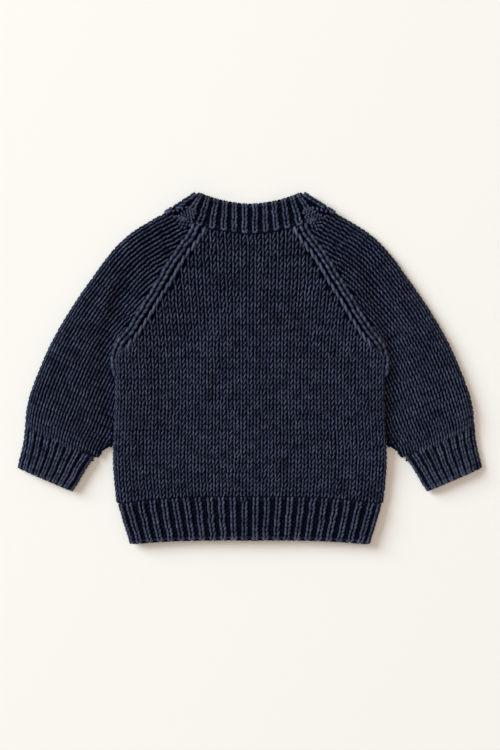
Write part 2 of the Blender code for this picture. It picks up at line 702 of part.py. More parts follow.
def make_buttons():
    """Four-hole buttons, face down: a rim round a shallow dish."""
    profile = [
        (BUTTON_RADIUS - 2 * BUTTON_RIM, BUTTON_DISH),
        (BUTTON_RADIUS - BUTTON_RIM, 0.0),
        (BUTTON_RADIUS, BUTTON_EDGE),
        (BUTTON_RADIUS, BUTTON_THICKNESS - BUTTON_EDGE),
        (BUTTON_RADIUS - BUTTON_EDGE, BUTTON_THICKNESS),
    ]
    for k, y in enumerate(BUTTON_Y, 1):
        bm = bmesh.new()
        rings = []
        for radius, z in profile:
            ring = []
            for s in range(BUTTON_SIDES):
                angle = 2 * math.pi * (s + 0.5) / BUTTON_SIDES
                place = (radius * math.cos(angle), y + radius * math.sin(angle), z)
                ring.append(bm.verts.new([c * MM for c in place]))
            rings.append(ring)
        for low, high in zip(rings, rings[1:]):
            for s in range(BUTTON_SIDES):
                t = (s + 1) % BUTTON_SIDES
                bm.faces.new((low[s], low[t], high[t], high[s]))
        bm.faces.new(rings[0])
        bm.faces.new(rings[-1])
        button = finish_object(f"button_{k}", bm, HORN)
        for h in range(4):
            angle = math.pi * (h + 0.5) / 2
            x = THREAD_HOLE_REACH * math.cos(angle)
            hole_y = y + THREAD_HOLE_REACH * math.sin(angle)
            low, high = -BUTTON_THICKNESS, 2 * BUTTON_THICKNESS
            name = f"thread_hole_{k}_{h}"
            cutter = cylinder_cutter(name, x, hole_y, low, high, THREAD_HOLE_RADIUS, THREAD_HOLE_SIDES)
            cut_away(button, cutter)


def main():
    for thing in list(bpy.data.objects):
        bpy.data.objects.remove(thing, do_unlink=True)
    make_back()
    make_fronts()
    make_hem_back()
    make_hem_fronts()
    make_sleeves()
    make_cuffs()
    make_neckband()
    make_bands()
    make_buttons()


main()
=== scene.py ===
"""A small child's chunky raglan cardigan in navy wool, laid flat on its buttoned front.

It is built up as it is knitted: every piece is a thin cloth on its CAD solid, and on that cloth lie
the courses of yarn, loop by loop. X runs across the garment, Y up it and Z up from the floor.
"""

import math

import bmesh
import bpy
import numpy as np
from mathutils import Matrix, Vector
from mathutils.bvhtree import BVHTree


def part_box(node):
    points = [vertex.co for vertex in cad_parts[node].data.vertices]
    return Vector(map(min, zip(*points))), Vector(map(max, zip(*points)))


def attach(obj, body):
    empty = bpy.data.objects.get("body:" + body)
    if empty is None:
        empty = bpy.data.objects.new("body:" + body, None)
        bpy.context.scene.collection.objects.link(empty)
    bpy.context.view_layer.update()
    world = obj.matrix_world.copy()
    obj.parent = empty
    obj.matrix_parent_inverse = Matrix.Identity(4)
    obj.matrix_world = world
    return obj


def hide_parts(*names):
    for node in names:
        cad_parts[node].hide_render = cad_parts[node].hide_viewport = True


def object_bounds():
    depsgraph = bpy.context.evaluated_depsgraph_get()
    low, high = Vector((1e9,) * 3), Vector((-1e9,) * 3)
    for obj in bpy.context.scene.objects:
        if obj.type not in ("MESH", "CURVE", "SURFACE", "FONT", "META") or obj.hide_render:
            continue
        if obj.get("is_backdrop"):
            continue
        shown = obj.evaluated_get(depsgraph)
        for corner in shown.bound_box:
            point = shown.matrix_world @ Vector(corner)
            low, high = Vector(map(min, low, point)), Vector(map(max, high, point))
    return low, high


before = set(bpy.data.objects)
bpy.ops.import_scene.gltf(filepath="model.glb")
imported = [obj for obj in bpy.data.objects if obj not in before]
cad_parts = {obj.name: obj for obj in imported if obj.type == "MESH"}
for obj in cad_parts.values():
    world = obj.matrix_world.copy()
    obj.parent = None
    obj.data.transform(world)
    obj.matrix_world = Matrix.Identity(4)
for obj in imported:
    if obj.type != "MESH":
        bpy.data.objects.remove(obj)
cad_low, cad_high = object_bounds()
MM = 0.001

# ---- The table, the light and the camera ----------------------------------------------------------
# A pale cream card. Soft cool light falls from the upper left, as from a window, with a faint warm
# lamp above and an even fill. The camera looks straight down, from far off, to keep the outline true.

FLOOR_SIZE, FLOOR_GAP = 6.0, 0.2 * MM
PHOTO_PIXEL = 1.0545 * MM  # one pixel of the photograph, on the garment's upper face
PHOTO_HEIGHT = 750 * PHOTO_PIXEL
CAMERA_LENS, SENSOR = 85.0, 36.0
CAMERA_X, CAMERA_Y = 0.2 * MM, -7.6 * MM



def plain_material(name, settings):
    """A material, and its one shader with the given values in its sockets."""
    material = bpy.data.materials.new(name)
    material.use_nodes = True
    shader = material.node_tree.nodes["Principled BSDF"]
    for socket, value in settings.items():
        shader.inputs[socket].default_value = value
    return material, shader


def round_light(name, size, energy, colour, place):
    """A soft round light at a place, turned to the middle of the garment."""
    data = bpy.data.lights.new(name, "AREA")
    data.shape = "DISK"
    data.size, data.energy, data.color = size, energy, colour
    light = bpy.data.objects.new(name, data)
    bpy.context.scene.collection.objects.link(light)
    light.location = place
    light.rotation_euler = (-light.location).to_track_quat("-Z", "Y").to_euler()


bpy.ops.object.select_all(action="DESELECT")
bpy.ops.mesh.primitive_plane_add(size=FLOOR_SIZE, location=(0, 0, -FLOOR_GAP))
floor = bpy.context.object
floor.name = "floor"
cream_card, _ = plain_material("cream_card", {"Base Color": (0.92, 0.90, 0.85, 1.0), "Roughness": 0.9,
                                              "Specular IOR Level": 0.1})
floor.data.materials.append(cream_card)
floor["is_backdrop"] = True

camera_data = bpy.data.cameras.new("camera")
camera_data.lens = CAMERA_LENS
camera_data.sensor_width = SENSOR
camera = bpy.data.objects.new("camera", camera_data)
bpy.context.scene.collection.objects.link(camera)
camera.location = (CAMERA_X, CAMERA_Y, cad_high.z + PHOTO_HEIGHT * CAMERA_LENS / SENSOR)
bpy.context.scene.camera = camera

round_light("window_light", size=9.0, energy=2610.0, colour=(0.79, 0.92, 1.0), place=(-10.7, 5.99, 6.8))
round_light("ceiling_light", size=4.0, energy=100.0, colour=(1.0, 0.855, 0.745), place=(0.0, 0.0, 6.0))
world = bpy.data.worlds.new("room")
bpy.context.scene.world = world
world.use_nodes = True
fill_light = world.node_tree.nodes["Background"].inputs
fill_light["Color"].default_value = (1.0, 0.865, 0.785, 1.0)
fill_light["Strength"].default_value = 0.32
bpy.context.scene.view_settings.view_transform = "Standard"

# ---- The back --------------------------------------------------------------------------------------
# Stocking stitch from the hem up, 41 wales wide, in a matte yarn of three plies. Above the underarms
# it is narrowed along the raglan lines; below them its sides turn down over the fold.

WALL = 4.2 * MM
YARN_RADIUS = 1.25 * MM
CLOTH_DEPTH = 3.2 * MM  # from the outermost yarn in to the cloth between the loops
CLOTH_THICKNESS = 0.8 * MM
SPOTS_PER_WALE = 4
PLIES = 3
TWISTS_PER_METRE = 130.0
PAINTED_SHADE_FROM, PAINTED_SHADE_TO = -2.2 * MM, 0.1 * MM  # painted shade: the yarn's colour darkens from its outer faces down to this depth, for the shade between the loops
rng = np.random.default_rng(7)


def noise(tree, place, scale, detail):
    """A noise texture over a place, and the value it gives."""
    texture = tree.nodes.new("ShaderNodeTexNoise")
    texture.inputs["Scale"].default_value = scale
    texture.inputs["Detail"].default_value = detail
    tree.links.new(place, texture.inputs["Vector"])
    return texture, texture.outputs["Fac"]


def raise_surface(tree, shader, height, strength, distance):
    """The shader's surface stands up as a height says."""
    bump = tree.nodes.new("ShaderNodeBump")
    bump.inputs["Strength"].default_value = strength
    bump.inputs["Distance"].default_value = distance
    tree.links.new(height, bump.inputs["Height"])
    tree.links.new(bump.outputs["Normal"], shader.inputs["Normal"])


def plied_wool():
    """Height of the twisted plies and their fibres, and the wool's lightness: uneven tone from place to
    place, darkened by painted shade where the yarn lies deep among the loops.
    """
    group = bpy.data.node_groups.new("plied_wool", "ShaderNodeTree")
    face = group.interface
    face.new_socket("Twist", in_out="INPUT", socket_type="NodeSocketFloat")
    face.new_socket("Heather", in_out="INPUT", socket_type="NodeSocketFloat")
    face.new_socket("Height", in_out="OUTPUT", socket_type="NodeSocketFloat")
    face.new_socket("Lightness", in_out="OUTPUT", socket_type="NodeSocketFloat")
    nodes, link = group.nodes, group.links.new
    given, out = nodes.new("NodeGroupInput"), nodes.new("NodeGroupOutput")
    along_yarn = nodes.new("ShaderNodeUVMap")
    along_yarn.uv_map = "yarn"
    parts = nodes.new("ShaderNodeSeparateXYZ")
    link(along_yarn.outputs[0], parts.inputs[0])

    def value(operation, a, b=0.0):
        node = nodes.new("ShaderNodeMath")
        node.operation = operation
        for socket, term in zip(node.inputs, (a, b)):
            if isinstance(term, (int, float)):
                socket.default_value = term
            else:
                link(term, socket)
        return node.outputs[0]

    turns = value("MULTIPLY", parts.outputs["X"], given.outputs["Twist"])
    phase = value("ADD", turns, value("MULTIPLY", parts.outputs["Y"], PLIES))
    ply = value("ABSOLUTE", value("SINE", value("MULTIPLY", phase, math.pi)))
    fibre_place = nodes.new("ShaderNodeCombineXYZ")
    link(value("MULTIPLY", phase, 9.0), fibre_place.inputs[0])
    link(value("MULTIPLY", parts.outputs["X"], 260.0), fibre_place.inputs[1])
    _, fibre = noise(group, fibre_place.outputs[0], 1.0, 3.0)
    link(value("ADD", value("POWER", ply, 0.6), value("MULTIPLY", fibre, 0.35)), out.inputs["Height"])

    _, patches = noise(group, nodes.new("ShaderNodeTexCoord").outputs["Object"], 140.0, 4.0)
    flecks = value("MULTIPLY", value("SUBTRACT", fibre, 0.5), 0.7)
    uneven = value("ADD", value("SUBTRACT", patches, 0.5), flecks)
    heathered = value("ADD", 0.6, value("MULTIPLY", uneven, given.outputs["Heather"]))
    # painted shade: the lightness is darkened where the yarn lies deep among the loops
    proud = nodes.new("ShaderNodeAttribute")
    proud.attribute_name = "bloom"
    link(value("MULTIPLY", heathered, proud.outputs["Fac"]), out.inputs["Lightness"])
    return group


wool_group = plied_wool()


def wool(name, light):
    """Wool: its colour goes from deep blue, painted shade where the yarn lies deep among the loops, to
    greyer blue on the yarn's outer faces.
    """
    material, shader = plain_material(name, {
        "Roughness": 0.88, "Specular IOR Level": 0.05, "Sheen Weight": 0.05, "Sheen Roughness": 0.45,
        "Sheen Tint": (0.55, 0.62, 0.8, 1.0)})
    nodes, link = material.node_tree.nodes, material.node_tree.links.new
    effect = nodes.new("ShaderNodeGroup")
    effect.node_tree = wool_group
    effect.inputs["Twist"].default_value = TWISTS_PER_METRE
    effect.inputs["Heather"].default_value = 1.6
    blend = nodes.new("ShaderNodeMix")
    blend.data_type = "RGBA"
    blend.inputs["A"].default_value = DARK_WOOL
    blend.inputs["B"].default_value = light
    link(effect.outputs["Lightness"], blend.inputs["Factor"])
    link(blend.outputs["Result"], shader.inputs["Base Color"])
    raise_surface(material.node_tree, shader, effect.outputs["Height"], PLY_BUMP, PLY_RELIEF)
    return material


def painted_shade_cloth(name, colour):
    """The cloth between the loops: the backs of the stitches, closely packed, coloured near black as painted
    shade.
    """
    material, shader = plain_material(name, {"Base Color": colour, "Roughness": 0.95,
                                             "Specular IOR Level": 0.03})
    place = material.node_tree.nodes.new("ShaderNodeTexCoord").outputs["Object"]
    _, bumps = noise(material.node_tree, place, 420.0, 3.0)
    raise_surface(material.node_tree, shader, bumps, 1.0, 0.4 * MM)
    return material


# DARK_WOOL is the painted shade colour of the yarn deep among the loops
DARK_WOOL = (0.0015, 0.0030, 0.0110, 1.0)
PLY_BUMP, PLY_RELIEF = 0.8, 0.35 * MM
navy_yarn = wool("navy_yarn", (0.108, 0.128, 0.212, 1.0))
# painted shade: the cloth is near black, for the shade between the loops
painted_shade_navy = painted_shade_cloth("painted_shade_navy", (0.0012, 0.0024, 0.0085, 1.0))


def smooth_step(t):
    t = np.clip(t, 0.0, 1.0)
    return t * t * (3.0 - 2.0 * t)


def solid_tree(node):
    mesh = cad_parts[node].data
    return BVHTree.FromPolygons([v.co for v in mesh.vertices], [p.vertices for p in mesh.polygons])


def crossings(tree, x, y):
    """Heights at which a plumb line goes through a solid's faces, top first."""
    found, z = [], 1.0
    while True:
        hit = tree.ray_cast(Vector((x, y, z)), Vector((0, 0, -1)))[0]
        if hit is None:
            return found
        found.append(hit.z)
        z = hit.z - 1e-5


def spread_out(field):
    """Fill what a map doesn't know from what lies next to it."""
    while np.isnan(field).any():
        padded = np.pad(field, 1, constant_values=np.nan)
        near = np.array([padded[1:-1, :-2], padded[1:-1, 2:], padded[:-2, 1:-1], padded[2:, 1:-1]])
        counts = (~np.isnan(near)).sum(axis=0)
        fill = np.isnan(field) & (counts > 0)
        field[fill] = np.nansum(near, axis=0)[fill] / counts[fill]
    return field


def read_between(grid, row, column):
    """What a grid holds at fractional rows and columns."""
    row, column = np.clip(row, 0, len(grid) - 1.001), np.clip(column, 0, grid.shape[1] - 1.001)
    r, c = np.asarray(row).astype(int), np.asarray(column).astype(int)
    down, across = row - r, column - c
    if grid.ndim > 2:
        down, across = down[..., None], across[..., None]
    near = grid[r, c] * (1 - across) + grid[r, c + 1] * across
    far = grid[r + 1, c] * (1 - across) + grid[r + 1, c + 1] * across
    return near * (1 - down) + far * down


def height_map(node, face, added=0.0, least=-1.0, step=2.5 * MM):
    """Height of one of a solid's faces, counted from the top, or -1 for the lowest, as a function
    of x and y. It goes on smoothly past the solid's edges. Faces lower than least don't count."""
    tree = solid_tree(node)
    low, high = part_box(node)
    xs, ys = np.arange(low.x, high.x + step, step), np.arange(low.y, high.y + step, step)
    field = np.full((len(ys), len(xs)), np.nan)
    for r, y in enumerate(ys):
        for c, x in enumerate(xs):
            found = crossings(tree, x, y)
            if len(found) > max(face, 0) and found[face] > least:
                field[r, c] = found[face] + added
    field = spread_out(field)
    for _ in range(4):  # eased twice each way
        padded = np.pad(field, ((1, 1), (0, 0)), mode="edge")
        field = ((padded[:-2] + 2 * field + padded[2:]) / 4).T
    return lambda x, y: read_between(field, (y - ys[0]) / step, (x - xs[0]) / step)


def edge_finder(node, axis, start, heights):
    """Where a solid's edge lies along X (0) or Y (1), seen from start, as a function of the other.
    The heights are in millimetres, and what lies nearest to start at any of them counts."""
    tree = solid_tree(node)
    way = -1.0 if start > 0 else 1.0

    def reach(places):
        found = []
        for place in np.atleast_1d(places):
            hits = []
            for height in heights:
                eye = Vector((0.0, 0.0, height * MM))
                eye[axis], eye[1 - axis] = start, place
                look = Vector((0.0, 0.0, 0.0))
                look[axis] = way
                hit = tree.ray_cast(eye, look)[0]
                if hit is not None:
                    hits.append(way * hit[axis])
            found.append(way * min(hits) if hits else np.nan)
        found = np.array(found)
        known = ~np.isnan(found)
        return np.interp(np.arange(len(found)), np.flatnonzero(known), found[known])

    return reach


def unit(ways):
    return ways / np.linalg.norm(ways, axis=-1, keepdims=True)


def lengths_along(line):
    return np.concatenate([[0.0], np.cumsum(np.linalg.norm(np.diff(line, axis=0), axis=1))])


def make_cloth(places):
    """The grid of a knitted piece, courses by spots across, with the way the cloth faces at each."""
    facing = np.cross(np.gradient(places, axis=1), np.gradient(places, axis=0))
    length = np.linalg.norm(facing, axis=2, keepdims=True)
    facing = np.where(length > 1e-12, facing / np.maximum(length, 1e-12), (0.0, 0.0, 1.0))
    return np.concatenate([places, facing], axis=2)


def on_side(side, cloth):
    """The grid of a piece on the wearer's right (1), or of its mirror image on the left (-1)."""
    return cloth if side > 0 else cloth[:, ::-1] * (-1.0, 1.0, 1.0, -1.0, 1.0, 1.0)


def spots(cloth, wale, course):
    """Places and facings at fractional wales and courses, both counted from the grid's corner."""
    both = read_between(cloth, course, wale * SPOTS_PER_WALE)
    return both[..., :3], unit(both[..., 3:])


class Skein:
    """Lengths of yarn that become one mesh: closed tubes, mapped along and round the yarn."""

    def __init__(self, sides):
        self.sides = sides
        self.points, self.faces, self.maps, self.bloom, self.count = [], [], [], [], 0

    def add(self, centres, facing, radius, level):
        """One length of yarn through the centres. level is how far each lies out of the cloth, and sets its
        painted shade: the deeper, the darker.
        """
        n, sides = len(centres), self.sides
        along = unit(np.gradient(centres, axis=0))
        aside = np.cross(along, facing)
        aside /= np.maximum(np.linalg.norm(aside, axis=1, keepdims=True), 1e-9)
        outward = np.cross(aside, along)
        angles = 2 * np.pi * np.arange(sides) / sides
        size = np.broadcast_to(radius, n)[:, None]
        across, out = size * np.cos(angles), size * np.sin(angles)
        rings = centres[:, None] + across[..., None] * aside[:, None] + out[..., None] * outward[:, None]
        tips = centres[[0, -1]]
        self.points += [rings.reshape(-1, 3), tips]
        # painted shade: each point's colour darkens the deeper it lies among the loops
        proud = np.concatenate([((level[:, None] + out) * YARN_RADIUS / size.max()).ravel(), level[[0, -1]]])
        self.bloom.append(smooth_step((proud - PAINTED_SHADE_FROM) / (PAINTED_SHADE_TO - PAINTED_SHADE_FROM)))

        length = lengths_along(centres)
        base, first_tip = self.count, self.count + n * sides
        ring, side = [a.ravel() for a in np.meshgrid(np.arange(n - 1), np.arange(sides), indexing="ij")]
        after = (side + 1) % sides
        low, high = base + ring * sides, base + (ring + 1) * sides
        self.faces.append(np.stack([high + side, high + after, low + after, low + side], axis=1))
        lengths = np.stack([length[ring + 1], length[ring + 1], length[ring], length[ring]], axis=1)
        turns = np.stack([side, side + 1, side + 1, side], axis=1) / sides
        self.maps.append(np.stack([lengths, turns], axis=2))
        edge = np.arange(sides)
        last = base + (n - 1) * sides
        for tip, one, two, place in (
            (first_tip, base + edge, base + (edge + 1) % sides, length[0]),
            (first_tip + 1, last + (edge + 1) % sides, last + edge, length[-1]),
        ):
            fan = np.stack([np.full(sides, tip), one, two, np.full(sides, -1)], axis=1)
            self.faces.append(fan)
            self.maps.append(np.broadcast_to(np.array((place, 0.0)), (sides, 4, 2)))
        self.count += n * sides + 2

    def wind(self, name, material):
        """The mesh object of all the yarn."""
        points, faces = np.concatenate(self.points), np.concatenate(self.faces)
        points[:, 2] = np.maximum(points[:, 2], 0.0)  # the table presses the yarn flat
        maps = np.concatenate(self.maps)
        sizes = np.where(faces[:, 3] < 0, 3, 4)
        keep = np.arange(4)[None] < sizes[:, None]
        mesh = bpy.data.meshes.new(name)
        mesh.vertices.add(len(points))
        mesh.vertices.foreach_set("co", points.astype(np.float32).ravel())
        mesh.loops.add(int(keep.sum()))
        mesh.loops.foreach_set("vertex_index", faces[keep].astype(np.int32))
        mesh.polygons.add(len(faces))
        starts = np.concatenate([[0], np.cumsum(sizes)[:-1]])
        mesh.polygons.foreach_set("loop_start", starts.astype(np.int32))
        mesh.update(calc_edges=True)
        mesh.uv_layers.new(name="yarn").data.foreach_set("uv", maps[keep].astype(np.float32).ravel())
        # painted shade, stored per point, darkening the yarn's colour in the hollows
        bloom = mesh.attributes.new("bloom", "FLOAT", "POINT")
        bloom.data.foreach_set("value", np.concatenate(self.bloom).astype(np.float32))
        mesh.shade_smooth()
        mesh.materials.append(material)
        yarn = bpy.data.objects.new(name, mesh)
        bpy.context.scene.collection.objects.link(yarn)
        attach(yarn, "root")
        return yarn


LOOP_SPREAD = 0.19  # how far a loop's legs lean apart, in wales
LOOP_SKEW = 0.155  # and how far both lean to the right, in wales for each course
LOOP_REACH = 0.82  # its head and feet lie this far from its course's middle, in courses
LOOP_DEPTH = 1.35 * MM  # its legs lie this far out of the cloth's middle, its head and feet as far in
LOOP_ARCH = 1.4  # under 2 the legs are arched more sharply, and show as separate grains
LOOP_TUCK = 0.45 * MM  # and its feet this much further out than the head
LOOP_SWELL = 0.2  # the yarn is this much fuller in the legs, and thinner where it turns
STRAY_ACROSS, STRAY_ALONG, STRAY_OUT = 0.045, 0.06, 0.12 * MM  # in wales, in courses, out of the cloth
RIB_RISE = 0.9 * MM  # a rib's knit wales stand out by this, and the purl wales sink by it


def knit_course(skein, cloth, course, first, last, radius=YARN_RADIUS, spread=LOOP_SPREAD,
                skew=LOOP_SKEW, ribbed=False, rings=10, raised=0.0):
    """One course of loops, wale by wale from first to last. In rib, the odd wales show their backs."""
    count = last - first + 1
    turn = np.linspace(0.0, 2 * np.pi * count, rings * count + 1)
    at = first + turn / (2 * np.pi)
    middles = first + 0.5 + np.arange(-1, count + 1)
    stray = rng.normal(size=(3, count + 2))
    rise = -LOOP_REACH * np.cos(turn)
    wale = at + spread * np.sin(2 * turn) + skew * rise + STRAY_ACROSS * np.interp(at, middles, stray[0])
    out = 1.0 - 2.0 * np.abs(np.cos(turn)) ** LOOP_ARCH
    depth = LOOP_DEPTH * out + LOOP_TUCK * np.cos(turn)
    if ribbed:
        purl = np.interp(at, np.stack([middles - 0.3, middles + 0.3], axis=1).ravel(),
                         np.repeat(np.round(middles - 0.5) % 2, 2))
        depth = depth * (1 - 2 * purl) - 2 * RIB_RISE * purl
        raised = raised + RIB_RISE
    rise = rise + STRAY_ALONG * np.interp(at, middles, stray[1])
    depth = np.minimum(depth + STRAY_OUT * np.interp(at, middles, stray[2]), LOOP_DEPTH)
    place, facing = spots(cloth, wale, course + 0.5 + rise)
    level = depth - radius - LOOP_DEPTH
    size = radius * (1.0 - LOOP_SWELL + LOOP_SWELL * out)
    skein.add(place + facing * (level + raised)[:, None], facing, size, level)


SEAM_DEPTH, SEAM_RADIUS = 3.6 * MM, 1.9 * MM
SEAM_SHADE = 6.6 * MM  # so deep in, its colour is fully darkened by the painted shade


def back_seam(skein, places, facing):
    """The ridge that a seam makes on the inside, which closes the joint between two pieces, coloured fully
    in painted shade.
    """
    skein.add(places - SEAM_DEPTH * facing, facing, SEAM_RADIUS, np.full(len(places), -SEAM_SHADE))


def knit_rows(skein, cloth, **how):
    """Every course of a piece, over its whole width."""
    for j in range(len(cloth) - 1):
        knit_course(skein, cloth, j, 0, (cloth.shape[1] - 1) // SPOTS_PER_WALE - 1, **how)


def knit_runs(skein, cloth, course, shown, **how):
    """The stretches of a course in which the wales are shown."""
    steps = np.flatnonzero(np.diff(np.concatenate([[False], shown, [False]]).astype(int)))
    for first, end in zip(steps[::2], steps[1::2]):
        knit_course(skein, cloth, course, first, end - 1, **how)


def lay_cloth(name, cloth, step=2, depth=CLOTH_DEPTH):
    """The thin cloth under the yarn, through every spot of the grid up it and every step across."""
    columns = list(range(0, cloth.shape[1] - 1, step)) + [cloth.shape[1] - 1]
    grid = cloth[:, columns]
    points = grid[..., :3] - grid[..., 3:] * depth
    rows, width = points.shape[:2]
    index = np.arange(rows * width).reshape(rows, width)
    quads = np.stack([index[:-1, :-1], index[:-1, 1:], index[1:, 1:], index[1:, :-1]], axis=2)
    mesh = bpy.data.meshes.new(name)
    mesh.from_pydata(points.reshape(-1, 3).tolist(), [], quads.reshape(-1, 4).tolist())
    bm = bmesh.new()
    bm.from_mesh(mesh)
    bmesh.ops.remove_doubles(bm, verts=bm.verts, dist=0.05 * MM)
    bmesh.ops.dissolve_degenerate(bm, edges=bm.edges, dist=0.05 * MM)
    bm.to_mesh(mesh)
    bm.free()
    mesh.shade_smooth()
    mesh.materials.append(painted_shade_navy)
    piece = bpy.data.objects.new(name, mesh)
    bpy.context.scene.collection.objects.link(piece)
    bpy.ops.object.select_all(action="DESELECT")
    bpy.context.view_layer.objects.active = piece
    piece.select_set(True)
    wall = piece.modifiers.new("thickness", "SOLIDIFY")
    wall.thickness = CLOTH_THICKNESS
    wall.offset = -1.0
    bpy.ops.object.modifier_apply(modifier=wall.name)
    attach(piece, "root")
    return piece


BACK_WALES = 41
FOLD_ROLL = 5.4 * MM  # the sides turn over within this of the fold, and drop this far
FOLD_EXTRA = 3.0 * MM  # the turned-over cloth is longer than the fold is wide
RAGLAN_ROLL, RAGLAN_DROP = 3.0 * MM, 1.2 * MM
UNDERARM_Y, RAGLAN_FLAT_Y = 11.0 * MM, 50.0 * MM
PROUD = 1.1 * MM  # the loops on a fold reach this much further out than the cloth
NECK_WALE = 7.95 * MM
LOW_COURSE, HIGH_COURSE = 5.0 * MM, 6.0 * MM
LOW_COURSE_Y, HIGH_COURSE_Y = -120.0 * MM, 70.0 * MM
RAGLAN_CLEAR = 6.0 * MM  # the wales end this far from the raglan line, under the slanting stitches
HEM_HALF_WIDTH, NECK_HALF_WIDTH = 139.0 * MM, 48.0 * MM
HEM_BEND, NECK_BEND = 34.0 * MM, 16.0 * MM  # the courses follow these edges' lines about this far in

back_height = height_map("back", 0)
back_edge = edge_finder("back", 0, 1.0, (6, 7, 8, 9, 10))
back_bottom = edge_finder("back", 1, -1.0, (9,))
back_top = edge_finder("back", 1, 1.0, (8, 9, 10))
back_low, back_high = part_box("back")
bottom_y, top_y = float(back_bottom(0.0)[0]), float(back_top(0.0)[0])
hem_ends = np.linspace(0.0, HEM_HALF_WIDTH, 30)
neck_ends = np.linspace(0.0, NECK_HALF_WIDTH, 20)
hem_line, neck_line = back_bottom(hem_ends), back_top(neck_ends)

courses = [bottom_y]
while courses[-1] < top_y:
    share = smooth_step((courses[-1] - LOW_COURSE_Y) / (HIGH_COURSE_Y - LOW_COURSE_Y))
    courses.append(courses[-1] + LOW_COURSE + (HIGH_COURSE - LOW_COURSE) * share)
courses = bottom_y + (np.array(courses) - bottom_y) * (top_y - bottom_y) / (courses[-1] - bottom_y)


def course_bend(x, y):
    """A course follows the hem's seam near it, and the neckline near that, and is straight between."""
    hem = np.interp(np.abs(x), hem_ends, hem_line)
    neck = np.interp(np.abs(x), neck_ends, neck_line)
    bend = (hem - bottom_y) * np.exp(-(y - bottom_y) / HEM_BEND)
    return y + bend + (neck - top_y) * np.exp(-(top_y - y) / NECK_BEND)


edges = back_edge(np.clip(courses, back_low.y + 6 * MM, back_high.y - 1.0 * MM))
edges = edges + PROUD * (1.0 - smooth_step((courses - UNDERARM_Y) / (20 * MM)))
turned = 1.0 - smooth_step((courses - UNDERARM_Y) / (RAGLAN_FLAT_Y - UNDERARM_Y))
panel_reach = edges + FOLD_EXTRA * turned
body_wale = (edges + FOLD_EXTRA) / (BACK_WALES / 2)
fanned = smooth_step((courses - UNDERARM_Y) / (top_y - UNDERARM_Y))
underarm_wale = np.interp(UNDERARM_Y, courses, body_wale)
raglan_wale = underarm_wale + (NECK_WALE - underarm_wale) * fanned
wale_width = np.where(courses < UNDERARM_Y, body_wale, raglan_wale)
clear = RAGLAN_CLEAR * smooth_step((courses - UNDERARM_Y) / (20 * MM))
half_wales = np.floor((panel_reach - clear) / wale_width + 1e-6 - 0.5) * (courses > UNDERARM_Y)
half_wales = np.where(courses > UNDERARM_Y, half_wales, (BACK_WALES - 1) / 2).astype(int)

RIM, RIM_INSET = 2.8 * MM, 12.0 * MM  # how much the back swells, and how far in from its side
HOLLOW, HOLLOW_INSET, HOLLOW_END = 3.5 * MM, 58.0 * MM, 100.0 * MM  # and how much it sinks further in
SWELL_LOW_Y, SWELL_TOP_Y, SWELL_EASE = -128.0 * MM, 95.0 * MM, 60.0 * MM
RIDGE, RIDGE_WIDTH = 2.2 * MM, 20.0 * MM  # the cloth stands up along the raglan line


def along_raglan(y):
    """How fully the ridge has risen: from 0 at the underarm to 1, and back to 0 near the neck."""
    return smooth_step((y - 8 * MM) / (40 * MM)) * smooth_step((150 * MM - y) / (60 * MM))


def worn_back(x, y):
    """The height of the back: it swells along its sides and is a little hollow between them."""
    inset = np.interp(y, courses, edges) - np.abs(x)
    side = smooth_step((SWELL_TOP_Y - y) / SWELL_EASE) * smooth_step((y - SWELL_LOW_Y) / SWELL_EASE)
    rim = RIM * (0.25 + 0.75 * smooth_step((30 * MM - y) / (40 * MM)))
    turn = np.pi * np.clip((inset - RIM_INSET) / (HOLLOW_INSET - RIM_INSET), 0.0, 1.0)
    swell = 0.5 * (rim - HOLLOW) + 0.5 * (rim + HOLLOW) * np.cos(turn)
    ease = 1.0 - smooth_step((inset - HOLLOW_INSET) / (HOLLOW_END - HOLLOW_INSET))
    ridge = RIDGE * along_raglan(y) * np.exp(-((np.maximum(inset, 0.0) / RIDGE_WIDTH) ** 2))
    return back_height(x, y) + side * swell * ease + ridge


def panel_places(height, way):
    """Points of the back, or with way -1 of both fronts: rows are courses, columns spots across."""
    u = np.arange(-BACK_WALES / 2, BACK_WALES / 2 + 1e-6, 1 / SPOTS_PER_WALE)[None]
    arc = np.minimum(wale_width[:, None] * np.abs(u), panel_reach[:, None])
    roll = (RAGLAN_ROLL + (FOLD_ROLL - RAGLAN_ROLL) * turned)[:, None]
    drop = (RAGLAN_DROP + (FOLD_ROLL - RAGLAN_DROP) * turned)[:, None]
    flat = edges[:, None] - roll
    angle = np.clip((arc - flat) / (panel_reach[:, None] - flat), 0.0, 1.0) * np.pi / 2
    x = np.minimum(arc, flat) + roll * np.sin(angle)
    y = course_bend(x, courses[:, None] + 0 * x)
    z = height(np.minimum(x, flat), y) - way * drop * (1.0 - np.cos(angle))
    return np.stack([np.sign(u) * x, y, z], axis=2)


back_grid = make_cloth(panel_places(worn_back, 1.0))
back_skein = Skein(5)
wales = np.arange(BACK_WALES) - (BACK_WALES - 1) // 2
for j in range(len(courses) - 1):
    knit_runs(back_skein, back_grid, j, np.abs(wales) <= half_wales[j])

# Along each raglan line a stitch is slipped over the next in every second course: a long steep leg.
STEEP_EVERY = 7.4 * MM
STEEP_IN, STEEP_LENGTH, STEEP_RADIUS = 3.9 * MM, 13.0 * MM, 1.75 * MM
STEEP_SLOPE = math.radians(71.0)
STEEP_RISE, STEEP_TUCK = 0.8 * MM, 1.6 * MM
STEEP_BRIGHT = 0.2 * MM  # painted light: their colour is painted lighter, as if they lay this much further out
STEEP_FROM_Y, STEEP_TO_Y, FRONT_STEEP_TO_Y = 25.0 * MM, 146.0 * MM, 124.0 * MM
STEEP_STRAY = 0.5 * MM


